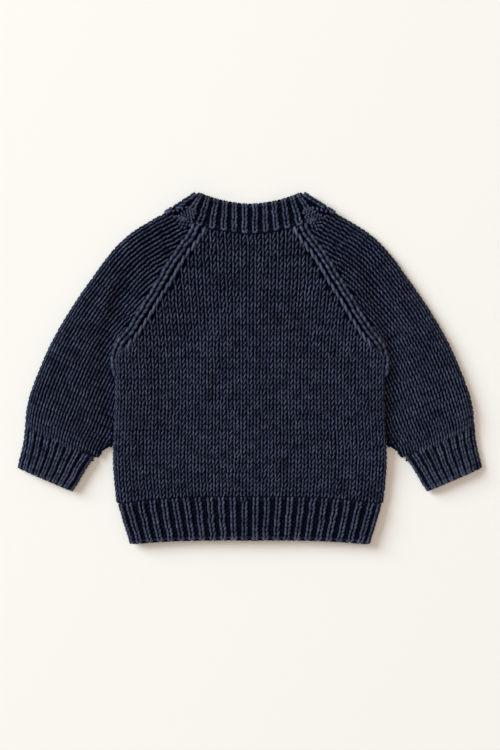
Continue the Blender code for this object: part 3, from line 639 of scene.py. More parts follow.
def steep_legs(skein, side, top, edge, surface, way=1.0):
    """The legs beside one raglan line, over a surface, or with way -1 under it, their ends tucked in."""
    share = np.linspace(-1.0, 1.0, 9)
    lean = np.array((-math.cos(STEEP_SLOPE), math.sin(STEEP_SLOPE)))
    level = -STEEP_RADIUS - STEEP_TUCK * share**4
    size = STEEP_RADIUS * (1.0 - 0.55 * share**4)
    facing = np.broadcast_to(np.array((0.0, 0.0, way)), (len(share), 3))
    for y in np.arange(STEEP_FROM_Y, top, STEEP_EVERY):
        y = y + rng.normal() * STEEP_STRAY
        middle = np.array((float(edge(y)[0]) - STEEP_IN, y))
        points = (middle + 0.5 * STEEP_LENGTH * share[:, None] * lean) * (side, 1.0)
        z = surface(points[:, 0], points[:, 1]) + way * level
        skein.add(np.column_stack([points, z]), facing, size, level + STEEP_BRIGHT)


for side in (-1.0, 1.0):
    steep_legs(back_skein, side, STEEP_TO_Y, back_edge, lambda x, y: worn_back(x, y) + STEEP_RISE)

back_yarn = back_skein.wind("back_yarn", navy_yarn)
back_cloth = lay_cloth("back_cloth", back_grid)
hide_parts("back")

# ---- The fronts ------------------------------------------------------------------------------------
# Two panels of the same stitch under the back, face down on the table. The wearer's right one climbs
# a little near the middle, where its band lies on the other's.

FRONT_INNER = 14.3 * MM  # where the front is knitted to its band
front_low = height_map("front_right", -1)
front_nodes = {-1: solid_tree("front_left"), 1: solid_tree("front_right")}


def shown_on(tree, places, top, lowest=4.5 * MM):
    """Which places have the solid's face under them: its upper one, or its lower one near the floor."""
    shown = []
    for x, y in places:
        found = crossings(tree, x, y)
        shown.append(bool(found) and (found[0] > 6 * MM if top else found[-1] < lowest))
    return np.array(shown)


front_grid = make_cloth(panel_places(front_low, -1.0)[:, ::-1])
front_edge_in = edge_finder("front_right", 0, 0.0, (5, 6))
front_rim = edge_finder("front_right", 0, 1.0, (1, 2, 3))
for side, name in ((1, "front_right"), (-1, "front_left")):
    grid = front_grid.copy()
    if side < 0:
        flat = grid[..., 2] - front_low(np.abs(grid[..., 0]), grid[..., 1])
        grid[..., 2] = np.maximum(flat, 0.0)
    skein = Skein(4)
    for j in range(len(courses) - 1):
        middles = 0.5 * (grid[j, 2::SPOTS_PER_WALE, :2] + grid[j + 1, 2::SPOTS_PER_WALE, :2])
        own = (middles[:, 0] * side > FRONT_INNER - 2 * MM) & (np.abs(wales) <= half_wales[j])
        inside = shown_on(front_nodes[side], middles, top=False, lowest=8 * MM)
        knit_runs(skein, grid, j, own & inside, rings=8)
    steep_legs(skein, side, FRONT_STEEP_TO_Y, front_rim, lambda x, y: 0.0 * x, -1.0)
    yarn = skein.wind(f"{name}_yarn", navy_yarn)
    rows = np.linspace(bottom_y - 2 * MM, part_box(name)[1].y - 0.5 * MM, 40)
    inner = np.maximum(front_edge_in(rows), FRONT_INNER)
    outer = np.maximum(back_edge(rows), inner + 1 * MM)
    shares = np.linspace(0.0, 1.0, 33)[None, ::-side]
    x = inner[:, None] + (outer - inner)[:, None] * shares
    near = np.clip((FOLD_ROLL - (outer[:, None] - x)) / FOLD_ROLL, 0.0, 1.0)
    rise = FOLD_ROLL * (1.0 - np.sqrt(1.0 - np.minimum(near, 0.999) ** 2)) * (rows < UNDERARM_Y)[:, None]
    z = (front_low(x, rows[:, None] + 0 * x) if side > 0 else 0.0 * x) + rise
    cloth = lay_cloth(f"{name}_cloth", make_cloth(np.stack([side * x, rows[:, None] + 0 * x, z], axis=2)),
                      step=1)
    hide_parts(name)

# ---- The hems --------------------------------------------------------------------------------------
# One-by-one rib knitted on to the back and the fronts: a column of knit stitches, then one of purl
# sunk behind it. The loops of the cast-on edge show along the bottom.

HEM_RIBS = 23  # across the back, a furrow in the middle; the side folds take half a rib each
HEM_COURSES = 10
HEM_LOW_HALF, HEM_HIGH_HALF = 121.0 * MM, 136.0 * MM  # to the ends of its flat cast-on and upper edges
FURROW = 0.17  # a purl wale reaches this far either side of a furrow's middle, in ribs
RIB_RADIUS = 1.6 * MM
# painted light: the rib yarn is the same wool painted a little lighter, for the light its raised legs catch
rib_yarn = wool("navy_rib_yarn", (0.118, 0.138, 0.224, 1.0))


def rib_marks(bounds):
    """Places across the rib of every spot, from the bounds of its wales."""
    steps = np.arange(SPOTS_PER_WALE) / SPOTS_PER_WALE
    marks = [low + (high - low) * steps for low, high in zip(bounds, bounds[1:])]
    return np.append(np.concatenate(marks), bounds[-1])


def rib_bounds(first, last, furrow=FURROW):
    """Bounds of the wales from rib first to rib last, knit wales and the purl wales between."""
    return [n + edge for n in range(first, last + 1) for edge in (furrow, 1.0 - furrow)]


def both_ways(bounds):
    """The same bounds on either side of the middle."""
    return [-b for b in bounds[::-1]] + bounds


def cast_edge(skein, grid, row, inward, radius, raised=0.0):
    """The edge's own row of loops, a bump over every leg of the rib."""
    last = grid.shape[1] - 1
    marks = np.linspace(0.0, last, last * 3 + 1)
    beat = np.where(marks // SPOTS_PER_WALE % 2 == 0, -np.cos(np.pi * marks), -1.0)
    along = row + inward * (0.3 - 0.25 * beat) + 0.04 * rng.normal(size=len(marks))
    place, facing = spots(grid, marks / SPOTS_PER_WALE, along)
    level = (0.8 * beat - 0.5) * MM - radius
    skein.add(place + facing * (level + raised)[:, None], facing, radius, level)


def lay_nub(skein, grid, wale, course, lean, sink, dim=0.5 * MM, reach=2.0 * MM, radius=1.2 * MM):
    """The back of one stitch: a short nub of yarn, its ends tucked in. Its colour is darkened further by
    dim, as painted shade.
    """
    near, facing = spots(grid, wale + np.array((-0.1, 0.1, 0.0)), np.full(3, float(course)))
    across = (near[1] - near[0]) / np.linalg.norm(near[1] - near[0])
    way = math.cos(lean) * across + math.sin(lean) * np.cross(facing[2], across)
    turn = np.linspace(-1.0, 1.0, 7)
    level = -radius - sink - 1.5 * MM * turn**4
    facing = np.broadcast_to(facing[2], (7, 3))
    skein.add(near[2] + reach * turn[:, None] * way + facing * level[:, None], facing, radius, level - dim)


SMALL_NUB = {"dim": 0.35 * MM, "reach": 1.25 * MM, "radius": 1.15 * MM}


def furrow_bumps(skein, grid, course):
    """The back of one stitch shows at the end of each furrow."""
    for w in range(1, (grid.shape[1] - 1) // SPOTS_PER_WALE, 2):
        lay_nub(skein, grid, w + 0.5, course + 0.1 * rng.normal(), 0.3 * rng.normal(), 1.0 * MM)


hem_edge = edge_finder("hem_back", 0, 1.0, (6, 7, 8, 9))
hem_bottom = edge_finder("hem_back", 1, -1.0, (8, 9, 10))
hem_top = edge_finder("hem_back", 1, 1.0, (9, 10))
hem_inner = height_map("hem_back", 1, added=WALL)
side_low_y, side_high_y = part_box("hem_back")[0].y + 4 * MM, -146.0 * MM
across_low = np.linspace(0.0, HEM_LOW_HALF, 25)
across_high = np.linspace(0.0, HEM_HIGH_HALF, 25)
low_line, high_line = hem_bottom(across_low) + 0.8 * MM, hem_top(across_high)


def hem_places(marks, height, way):
    """Points of a hem, cast-on edge first, at marks counted in ribs from the middle."""
    shares = np.linspace(0.0, 1.0, HEM_COURSES + 1)
    edge = hem_edge(side_low_y + (side_high_y - side_low_y) * shares)[:, None] + 0.5 * PROUD
    pitch = edge / (HEM_RIBS / 2)
    arc = np.minimum(pitch * np.abs(marks)[None], edge + FOLD_EXTRA)
    flat = edge - FOLD_ROLL
    angle = np.clip((arc - flat) / (FOLD_ROLL + FOLD_EXTRA), 0.0, 1.0) * np.pi / 2
    x = np.minimum(arc, flat) + FOLD_ROLL * np.sin(angle)
    bottom = np.interp(x * edge[0] / edge, across_low, low_line)
    top = np.interp(x * edge[-1] / edge, across_high, high_line)
    y = bottom + (top - bottom) * shares[:, None]
    z = height(np.minimum(x, flat), y) - way * FOLD_ROLL * (1.0 - np.cos(angle))
    return np.stack([np.sign(marks)[None] * x, y, z], axis=2)


LAST_HEM_RIB = [11.04, 11.68]  # it lies on the side fold
half_hem = rib_bounds(0, 10) + LAST_HEM_RIB
hem_grid = make_cloth(hem_places(rib_marks(both_ways(half_hem)), hem_inner, 1.0))
hem_skein = Skein(5)
RIB_LOOP = {"ribbed": True, "radius": RIB_RADIUS, "spread": 0.14, "skew": 0.07}
knit_rows(hem_skein, hem_grid, **RIB_LOOP)
cast_edge(hem_skein, hem_grid, 0.0, 1.0, 1.15 * MM)
furrow_bumps(hem_skein, hem_grid, HEM_COURSES - 0.5)
back_seam(hem_skein, hem_grid[-1, :, :3], hem_grid[-1, :, 3:])
hem_yarn = hem_skein.wind("hem_back_yarn", rib_yarn)
hem_cloth = lay_cloth("hem_back_cloth", hem_grid)
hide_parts("hem_back")

for side, name in ((1, "hem_front_right"), (-1, "hem_front_left")):
    lifted = height_map(name, -1)
    marks = rib_marks(rib_bounds(1, 10) + LAST_HEM_RIB)
    grid = hem_places(marks, lambda x, y: np.maximum(lifted(side * x, y), 0.0), -1.0)
    grid = on_side(side, make_cloth(grid[:, ::-1]))
    skein = Skein(4)
    knit_rows(skein, grid, rings=8, raised=-RIB_RISE, **RIB_LOOP)
    cast_edge(skein, grid, 0.0, 1.0, 1.0 * MM, raised=-RIB_RISE)
    yarn = skein.wind(f"{name}_yarn", rib_yarn)
    cloth = lay_cloth(f"{name}_cloth", grid)
    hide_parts(name)

# ---- The sleeves -----------------------------------------------------------------------------------
# Each is one tube lying flat: stocking stitch whose wales run beside the outer fold, and along the
# raglan line one thick raised wale, which goes on round the underarm.

SLEEVE_WALE, SHOULDER_WALE, CUFF_WALE = 7.05 * MM, 8.6 * MM, 6.3 * MM
SLEEVE_COURSE = 5.6 * MM
SLEEVE_HALF_WALES = 17
CUFF_TILT = math.radians(26.6)  # courses lie square to the fold, and near the cuff along its seam
SLEEVE_ABOVE, SLEEVE_BELOW = 40.0 * MM, 4.0 * MM  # it goes on under the neckband and into the cuff
SHOULDER_PROUD = 1.9 * MM  # the shoulder is fuller still
SEAM_TUCK = 3.0 * MM  # beside the body the sleeve reaches this far in under its edge
LEAST_TOP = 5.8 * MM  # its upper layer never sinks below this, on to the lower one
SEAM_END = np.array(((141.5, -78.2), (146.5, -82.8), (153.6, -89.0), (162.2, -95.2), (166.0, -98.8),
                     (169.0, -103.0))) * MM
WALE_WIDTH, WALE_OFF = 10.6 * MM, 5.3 * MM
WALE_COURSE, WALE_DROP, WALE_RISE = 6.8 * MM, 1.1 * MM, 1.2 * MM

sleeve_tree = solid_tree("sleeve_right")
sleeve_height = height_map("sleeve_right", 0)
sleeve_fold = edge_finder("sleeve_right", 0, 1.0, (4.5, 5.7))
sleeve_inner = edge_finder("sleeve_right", 0, 0.0, (2, 4, 6, 8, 9, 9.8))
SHOULDER_TOP_Y, CUFF_Y = 163.5 * MM, -63.0 * MM  # between them the fold is the solid's own edge


def softened(line, times):
    """A line with its corners eased, its ends where they were."""
    line = line.copy()
    for _ in range(times):
        line[1:-1] = (line[:-2] + 2 * line[1:-1] + line[2:]) / 4
    return line


def sideways(way):
    """The direction a quarter turn to the left of another, seen from above."""
    return np.stack([-way[..., 1], way[..., 0]], axis=-1)


def walk(line, distances):
    """Places at distances along a line, and its direction there."""
    run = lengths_along(line)
    place, ahead, behind = (np.column_stack([np.interp(distances + off, run, line[:, k]) for k in (0, 1)])
                            for off in (0.0, 2 * MM, -2 * MM))
    return place, unit(ahead - behind)


def nearest_on(line, places):
    """The point of a line nearest to each place, and how far off it is."""
    start, step = line[:-1], np.diff(line, axis=0)
    offset = places[:, None] - start[None]
    share = np.clip((offset * step).sum(axis=2) / (step**2).sum(axis=1), 0.0, 1.0)
    found = start[None] + share[..., None] * step
    distance = np.linalg.norm(places[:, None] - found, axis=2)
    best = distance.argmin(axis=1)
    every = np.arange(len(places))
    return found[every, best], distance[every, best]


def distance_to(line, places):
    return nearest_on(line, places)[1]


fold_y = np.arange(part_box("sleeve_right")[1].y - 1.5 * MM, CUFF_Y, -1.5 * MM)
fold_y = fold_y[fold_y < SHOULDER_TOP_Y]
fold_line = softened(np.column_stack([sleeve_fold(fold_y), fold_y]), 30)
fuller = PROUD + SHOULDER_PROUD * smooth_step((fold_y - 95 * MM) / (55 * MM))
fold_line = fold_line + fuller[:, None] * sideways(unit(np.gradient(fold_line, axis=0)))
first = fold_line[0] + unit(fold_line[0] - fold_line[6]) * SLEEVE_ABOVE
last = fold_line[-1] + unit(fold_line[-1] - fold_line[-7]) * SLEEVE_BELOW
fold_line = np.concatenate([[first], fold_line, [last]])
fold_length = lengths_along(fold_line)[-1]
sleeve_courses = int(round(fold_length / SLEEVE_COURSE))
walked = np.linspace(fold_length, 0.0, sleeve_courses + 1)  # from the cuff up
fold_places, fold_ways = walk(fold_line, walked)
tilt = np.maximum(np.arctan2(fold_ways[:, 0], -fold_ways[:, 1]), CUFF_TILT)
inward = np.column_stack([-np.cos(tilt), -np.sin(tilt)])
wider = (SHOULDER_WALE - SLEEVE_WALE) * smooth_step((fold_places[:, 1] - 50 * MM) / (110 * MM))
narrower = (SLEEVE_WALE - CUFF_WALE) * smooth_step(1.0 - (fold_length - walked) / (45 * MM))
sleeve_wale = SLEEVE_WALE + wider - narrower
fold_radius = 0.5 * float(sleeve_height(0.19, 0.05))
half_width = SLEEVE_HALF_WALES + 0.5
spot_wales = np.arange(-half_width, half_width + 1e-6, 1 / SPOTS_PER_WALE)[::-1]

underarm_y = np.arange(26.0, -77.0, -3.0) * MM
underarm_seam = np.column_stack([sleeve_inner(underarm_y) - SEAM_TUCK, underarm_y])
underarm_seam = np.concatenate([underarm_seam, SEAM_END])


def inside_seam(places):
    """How far places lie on the sleeve's side of its seam under the arm."""
    side = np.interp(-places[:, 1], -underarm_seam[:, 1], underarm_seam[:, 0])
    return distance_to(underarm_seam, places) * np.where(places[:, 0] > side, 1.0, -1.0)


def across_fold(fold, inward, arc, radius):
    """Where points lie seen from above, at an arc's length from the fold's outermost line."""
    bend = np.clip(np.abs(arc) / radius, 0.0, np.pi / 2)
    across = radius * (1.0 - np.cos(bend)) + np.maximum(np.abs(arc) - radius * np.pi / 2, 0.0)
    return fold[:, None] + inward[:, None] * across[..., None], np.sign(arc) * np.sin(bend)


groove_y = np.arange(150.0, 16.0, -2.0) * MM
groove = np.column_stack([0.5 * (back_edge(groove_y) + sleeve_inner(groove_y)), groove_y])
groove = softened(groove, 10)
VALLEY = np.array(((122.0, 116.0), (129.0, 98.0), (134.0, 82.0), (140.0, 66.0), (145.0, 50.0),
                   (149.0, 34.0), (151.0, 18.0), (150.0, 0.0), (149.0, -20.0), (148.0, -60.0))) * MM
VALLEY_DIP, VALLEY_WIDTH = 5.2 * MM, 10.0 * MM
SIDE_DIP, SIDE_WIDTH = 4.5 * MM, 18.0 * MM  # below the underarm, down to the body's side
GROOVE_WIDTH = 13.0 * MM


def sunk(flat, inside):
    """How far the worn sleeve dips in the valley beside the raglan line, and towards the body's side."""
    y = flat[:, 1]
    along = smooth_step((118 * MM - y) / (35 * MM)) * smooth_step((y + 70 * MM) / (60 * MM))
    dip = VALLEY_DIP * along * np.exp(-((distance_to(VALLEY, flat) / VALLEY_WIDTH) ** 2))
    low = smooth_step((12 * MM - y) / (20 * MM))
    side = SIDE_DIP * np.exp(-((np.maximum(inside, 0.0) / SIDE_WIDTH) ** 2)) * low
    ridge = RIDGE * along_raglan(y) * np.exp(-((distance_to(groove, flat) / GROOVE_WIDTH) ** 2))
    return np.maximum(dip, side) - ridge


def sleeve_points(places, share):
    """The points of the sleeve: share is 1 on its upper layer, -1 on the lower one and between them
    round the fold. At the seam under the arm the layers come together halfway up."""
    flat = places.reshape(-1, 2).copy()
    inside = inside_seam(flat)
    beyond = (inside < 0) & (flat[:, 1] < 20 * MM)
    flat[beyond] = nearest_on(underarm_seam, flat[beyond])[0]
    near = 1.0 - np.clip(np.maximum(inside, 0.0) / fold_radius, 0.0, 1.0)
    squash = np.maximum(np.sqrt(1.0 - near**2), smooth_step((flat[:, 1] - 10 * MM) / (14 * MM)))
    over = sleeve_height(flat[:, 0], flat[:, 1])
    above = np.maximum(share.ravel(), 0.0)
    z = over * 0.5 * (1.0 + share.ravel() * squash)
    z = np.maximum(z - sunk(flat, inside) * above * squash, np.minimum(z, LEAST_TOP))
    return np.column_stack([flat, z]).reshape(*places.shape[:2], 3)


sleeve_arc = sleeve_wale[:, None] * spot_wales[None]
sleeve_places, sleeve_share = across_fold(fold_places, inward, sleeve_arc, fold_radius)
sleeve_grid = make_cloth(sleeve_points(sleeve_places, sleeve_share))
past_seam = inside_seam(sleeve_places.reshape(-1, 2)).reshape(sleeve_share.shape) < 0.5 * MM
past_seam = past_seam & (sleeve_places[..., 1] < 20 * MM)
sleeve_grid[past_seam, 3:] = np.sign(sleeve_share[past_seam])[:, None] * (0.0, 0.0, 1.0)

front_groove_y = np.arange(129.0, 16.0, -2.0) * MM
UNDERARM_WAY = np.array(((146.6, 17.0), (145.4, 9.0), (143.4, 1.0), (141.2, -8.0))) * MM


def wale_line(groove):
    """The middle of the raglan wale: beside the groove on the sleeve, then down round the underarm."""
    beside = groove + WALE_OFF * sideways(unit(np.gradient(groove, axis=0)))
    beside = beside[beside[:, 1] > 26 * MM]
    return softened(np.concatenate([beside, UNDERARM_WAY]), 4)


def wale_grid(line, height, top):
    """The grid of the raglan wale, from the underarm up, one wale wide."""
    length = lengths_along(line)[-1]
    count = int(round(length / WALE_COURSE))
    place, way = walk(line, np.linspace(length, 0.0, count + 1))
    across = np.linspace(-1.0, 1.0, SPOTS_PER_WALE + 1)[None] * (1.0 if top else -1.0)
    places = place[:, None] + 0.5 * WALE_WIDTH * across[..., None] * sideways(way)[:, None]
    z = height(place[:, 0], place[:, 1])[:, None] - WALE_DROP * across**2
    z = z if top else np.abs(z)
    return make_cloth(np.concatenate([places, z[..., None]], axis=2))


def over_underarm(x, y):
    """What the raglan wale lies on: the sleeve, and past the underarm the back's rolled side."""
    down = smooth_step((20 * MM - y) / (22 * MM))
    over = sleeve_height(x, y) + RIDGE * along_raglan(y)
    return over * (1.0 - down) + (worn_back(x - 4 * MM, y) - 1.6 * MM) * down


back_wale_line = wale_line(groove)
front_groove = softened(np.column_stack([sleeve_inner(front_groove_y), front_groove_y]), 6)
wale_top = wale_grid(back_wale_line, over_underarm, True)
front_wale_line = wale_line(front_groove)
wale_under = wale_grid(front_wale_line, lambda x, y: 0.0 * x, False)

CUFF_JOIN = np.array(((165.5, -99.8), (237.6, -63.6))) * MM
YOKE_LINE = np.array(((68.3, 143.0), (75.6, 148.5), (80.7, 155.5), (84.1, 164.2))) * MM  # purl inside it
PURL_NUBS = ((0.12, 0.25), (0.37, 0.75), (0.62, 0.25), (0.87, 0.75))  # in each stitch, across and along
GROOVE_CLEAR, WALE_CLEAR, FRONT_WALE_CLEAR = 5.0 * MM, 3.8 * MM, 3.4 * MM
join_slope = (CUFF_JOIN[1, 1] - CUFF_JOIN[0, 1]) / (CUFF_JOIN[1, 0] - CUFF_JOIN[0, 0])
wale_numbers = np.arange(SLEEVE_HALF_WALES, -SLEEVE_HALF_WALES - 1, -1)  # 0 lies on the fold
spot_middles = sleeve_places[:, 2::SPOTS_PER_WALE]
sleeve_shown, sleeve_purl = [], []
for middles in 0.5 * (spot_middles[:-1] + spot_middles[1:]):
    x, y = middles.T
    inside = inside_seam(middles)
    above_cuff = (y - CUFF_JOIN[0, 1] - join_slope * (x - CUFF_JOIN[0, 0])) * math.cos(CUFF_TILT)
    upper, lower = shown_on(sleeve_tree, middles, True), shown_on(sleeve_tree, middles, False)
    fold_wale = upper[wale_numbers == 1]
    upper = upper & (distance_to(groove, middles) > GROOVE_CLEAR)
    upper = upper & (distance_to(back_wale_line, middles) > WALE_CLEAR)
    lower = lower & (distance_to(front_groove, middles) > GROOVE_CLEAR)
    lower = lower & (distance_to(front_wale_line, middles) > FRONT_WALE_CLEAR)
    by_seam = (np.abs(inside - 1 * MM) < 3 * MM) & (y < 8 * MM)
    kept = (above_cuff > 3 * MM) & ((inside > 1.5 * MM) | (y > -84 * MM))
    yoke = (x < np.interp(y, YOKE_LINE[:, 1], YOKE_LINE[:, 0])) & (y > YOKE_LINE[0, 1]) & (wale_numbers > 0)
    stitches = (np.where(wale_numbers > 0, upper, lower) | by_seam) & kept & ~yoke
    sleeve_shown.append(np.where(wale_numbers == 0, fold_wale, stitches))
    sleeve_purl.append(yoke & upper)

# The cloth under the yarn reaches from the fold to the body's side, over and under.
rows = np.linspace(0.0, 1.0, 44)
cloth_end = fold_length - SLEEVE_BELOW - 4 * MM
cloth_fold, _ = walk(fold_line, SLEEVE_ABOVE + (cloth_end - SLEEVE_ABOVE) * rows[::-1])
inner_y = np.arange(148.5, -95.0, -1.5) * MM
inner_x = np.where(inner_y < -55 * MM, np.interp(-inner_y, -underarm_seam[:, 1], underarm_seam[:, 0]), 1.0)
inner_line = np.column_stack([np.minimum(sleeve_inner(inner_y), inner_x + 0.5 * MM), inner_y])
cloth_inner, _ = walk(inner_line, lengths_along(inner_line)[-1] * rows[::-1])
cloth_across = cloth_inner - cloth_fold
cloth_width = np.linalg.norm(cloth_across, axis=1, keepdims=True)
cloth_arc = (cloth_width + (np.pi / 2 - 1) * fold_radius) * np.linspace(1.0, -1.0, 61)[None]
cloth_places, cloth_share = across_fold(cloth_fold, cloth_across / cloth_width, cloth_arc, fold_radius)
sleeve_cloth_grid = make_cloth(sleeve_points(cloth_places, cloth_share))

WALE_LOOP = {"radius": 2.0 * MM, "spread": 0.14, "skew": 0.04, "rings": 14}
SLEEVE_LOOPS = {1: {"spread": 0.13, "skew": 0.11}, -1: {"spread": 0.1, "skew": -0.02}}
for side, name in ((1, "sleeve_right"), (-1, "sleeve_left")):
    skein = Skein(5)
    grid = on_side(side, sleeve_grid)
    for j in range(sleeve_courses):
        knit_runs(skein, grid, j, sleeve_shown[j][::side], **SLEEVE_LOOPS[side])
        for w in np.flatnonzero(sleeve_purl[j][::side]):
            for aside, ahead in PURL_NUBS:
                lay_nub(skein, grid, w + aside, j + ahead, 1.1 * side + 0.6 * rng.normal(), 0.0, **SMALL_NUB)
    seam = np.column_stack([groove * (side, 1.0), back_height(groove[:, 0], groove[:, 1]) - 1 * MM])
    back_seam(skein, seam, np.broadcast_to(np.array((0.0, 0.0, 1.0)), seam.shape))
    knit_rows(skein, on_side(side, wale_top), raised=WALE_RISE, **WALE_LOOP)
    knit_rows(skein, on_side(side, wale_under), **WALE_LOOP)
    yarn = skein.wind(f"{name}_yarn", navy_yarn)
    cloth = lay_cloth(f"{name}_cloth", on_side(side, sleeve_cloth_grid), step=1)
    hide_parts(name)

# ---- The cuffs -------------------------------------------------------------------------------------
# The same rib round each wrist: eight ribs on the side that shows, one round the outer fold and
# eight beneath.

CUFF_RIBS = 8
CUFF_COURSES = 8
CUFF_FURROW = 0.13
cuff_inner_face = height_map("cuff_right", 1, added=WALL)
cuff_fold = edge_finder("cuff_right", 0, 1.0, (4.5, 5.2))
cuff_seam = edge_finder("cuff_right", 0, 0.0, (4.5, 5.2))
CUFF_FOLD_YS = np.linspace(-103.6, -63.8, CUFF_COURSES) * MM  # where its courses meet the outer fold
CUFF_SEAM_YS = np.linspace(-128.4, -100.0, CUFF_COURSES) * MM  # and the inner one
CUFF_TRIM = 2.4 * MM  # at its seam the cuff is drawn in
CUFF_LONGER = 2.4 * MM  # the cast-on edge's loops reach this far beyond the cloth


def cuff_edge(finder, ys):
    """One edge of the cuff, course by course. The last course lies over the sleeve's end."""
    line = softened(np.column_stack([finder(ys), ys]), 2)
    return np.concatenate([line, 2 * line[-1:] - line[-2:-1]])


fold_at, seam_at = cuff_edge(cuff_fold, CUFF_FOLD_YS), cuff_edge(cuff_seam, CUFF_SEAM_YS)
down_cuff = unit((fold_at + seam_at)[0] - (fold_at + seam_at)[-1])
longer = np.linspace(CUFF_LONGER, 0.0, CUFF_COURSES + 1)[:, None] * down_cuff
outer_way = unit(fold_at - seam_at)
trim = (CUFF_TRIM * np.linspace(0.1, 1.0, CUFF_COURSES + 1))[:, None] * outer_way
fold_at, seam_at = fold_at + longer + 0.9 * PROUD * outer_way, seam_at + longer + trim
cuff_across = seam_at - fold_at
cuff_width = np.linalg.norm(cuff_across, axis=1, keepdims=True)
cuff_radius = 0.5 * float(cuff_inner_face(0.205, -0.095))
rib_length = cuff_width - 2 * cuff_radius
quarter = cuff_radius * np.pi / 2
FOLD_WALE = (0.4 * MM, 7.5 * MM)  # a rib lies each side of the fold, from and to this far round it


def cuff_arcs(marks):
    """Arc lengths from the outer fold at marks in ribs, the ribs beside the fold between 0 and 1."""
    size = np.abs(marks)[None] + 0 * rib_length
    ribs = quarter + rib_length / CUFF_RIBS * (size - 1.0)
    near = FOLD_WALE[0] + (FOLD_WALE[1] - FOLD_WALE[0]) * size
    first = quarter + rib_length / CUFF_RIBS * CUFF_FURROW
    between = FOLD_WALE[1] + (first - FOLD_WALE[1]) * ((size - 1.0) / CUFF_FURROW)
    last = quarter + rib_length + (size - CUFF_RIBS - 1.0) * 2 * quarter
    arc = np.where(size <= 1.0, near, np.where(size < 1.0 + CUFF_FURROW, between, ribs))
    return np.sign(marks)[None] * np.where(size > CUFF_RIBS + 1.0, last, arc)


def round_cuff(arc):
    """Points round the cuff at an arc's length from its outer fold, over both of its folds."""
    size = np.abs(arc)
    outer = np.clip(size / cuff_radius, 0.0, np.pi / 2)
    inner = np.clip((size - quarter - rib_length) / cuff_radius, 0.0, np.pi / 2)
    across = cuff_radius * (1.0 - np.cos(outer)) + np.clip(size - quarter, 0.0, rib_length)
    across = across + cuff_radius * np.sin(inner)
    way = cuff_across / cuff_width
    x = fold_at[:, None, 0] + way[:, None, 0] * across
    y = fold_at[:, None, 1] + way[:, None, 1] * across
    over = cuff_inner_face(x, y)
    share = 0.5 * (1.0 + np.sign(arc) * np.sin(outer) * np.cos(inner))
    return np.stack([x, y, RIB_RISE + (over - RIB_RISE) * share], axis=2)


cuff_bounds = [0.001, 1.0] + rib_bounds(1, CUFF_RIBS, CUFF_FURROW) + [CUFF_RIBS + 1.2, CUFF_RIBS + 1.5]
cuff_grid = make_cloth(round_cuff(cuff_arcs(rib_marks(both_ways(cuff_bounds)[::-1]))))
cuff_round = (quarter * 2 + rib_length) * np.linspace(1.0, -1.0, 61)[None]
cuff_cloth_grid = make_cloth(round_cuff(cuff_round))
CUFF_LOOP = {"ribbed": True, "radius": 1.5 * MM, "spread": 0.1, "skew": 0.05}

for side, name in ((1, "cuff_right"), (-1, "cuff_left")):
    skein = Skein(5)
    grid = on_side(side, cuff_grid)
    knit_rows(skein, grid, **CUFF_LOOP)
    cast_edge(skein, grid, 0.0, 1.0, 1.15 * MM)
    furrow_bumps(skein, grid, CUFF_COURSES - 0.4)
    back_seam(skein, grid[-1, :, :3], grid[-1, :, 3:])
    yarn = skein.wind(f"{name}_yarn", rib_yarn)
    cloth = lay_cloth(f"{name}_cloth", on_side(side, cuff_cloth_grid), step=1)
    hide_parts(name)

# ---- The neckband ----------------------------------------------------------------------------------
# A strip of the same rib, picked up round the neck and cast off: from one front edge over the
# shoulders and across the back. At each shoulder one rib lies on the fold.

NECK_COURSES = 7
NECK_GAP = 0.4 * MM
NECK_RADIUS = 5.85 * MM
NECK_FOLD_RIB, NECK_UNDER_RIB = 6.0, 7.5
NECK_RIBS = (0, 1, 2, 3, 4, 5, 6, 7.5, 8.5, 10, 11.5)  # counted from the middle, where these edges lie
NECK_UPPER_X = (0.0, 10.9, 20.6, 30.6, 40.1, 48.0, 53.2, 49.4, 42.0, 29.8, 14.3)
NECK_UPPER_Y = (173.2, 173.9, 175.2, 177.1, 179.8, 182.4, 185.3, 169.5, 154.7, 142.1, 134.7)
NECK_LOWER_X = (0.0, 11.3, 22.0, 33.8, 46.2, 60.6, 78.0, 73.6, 63.2, 45.0, 14.3)
NECK_FOLD_TOP = np.array((59.2, 186.2)) * MM
NECK_END_RADIUS = 1.3 * MM
NECK_STEP = 1.2 * MM  # where it starts, its fold lies this far outside the sleeve's
BACK_NECK_END, FRONT_NECK_END = 49.5 * MM, 63.1 * MM

neck_inner = height_map("neckband", 1, added=WALL, least=2.2 * MM, step=2 * MM)
front_top = edge_finder("front_right", 1, 1.0, (3.6, 4.2))
sleeve_top, sleeve_top_way = (found[0] for found in walk(fold_line, np.array((SLEEVE_ABOVE,))))
sleeve_out = sideways(sleeve_top_way)
fold_centre = sleeve_top - fold_radius * sleeve_out
neck_fold_out = sideways(unit(sleeve_top - NECK_FOLD_TOP))


def neck_low_edge(x, behind):
    """The neckband's lower edge, a little above the back, the fronts or the sleeves."""
    finder, end = (back_top, BACK_NECK_END) if behind else (front_top, FRONT_NECK_END)
    own = finder(np.minimum(x, end - 0.5 * MM))
    at_end = float(finder(end - 0.5 * MM)[0])
    slope = (fold_centre[1] - at_end) / (fold_centre[0] - end)
    return np.where(x > end, at_end + slope * (x - end), own) + NECK_GAP


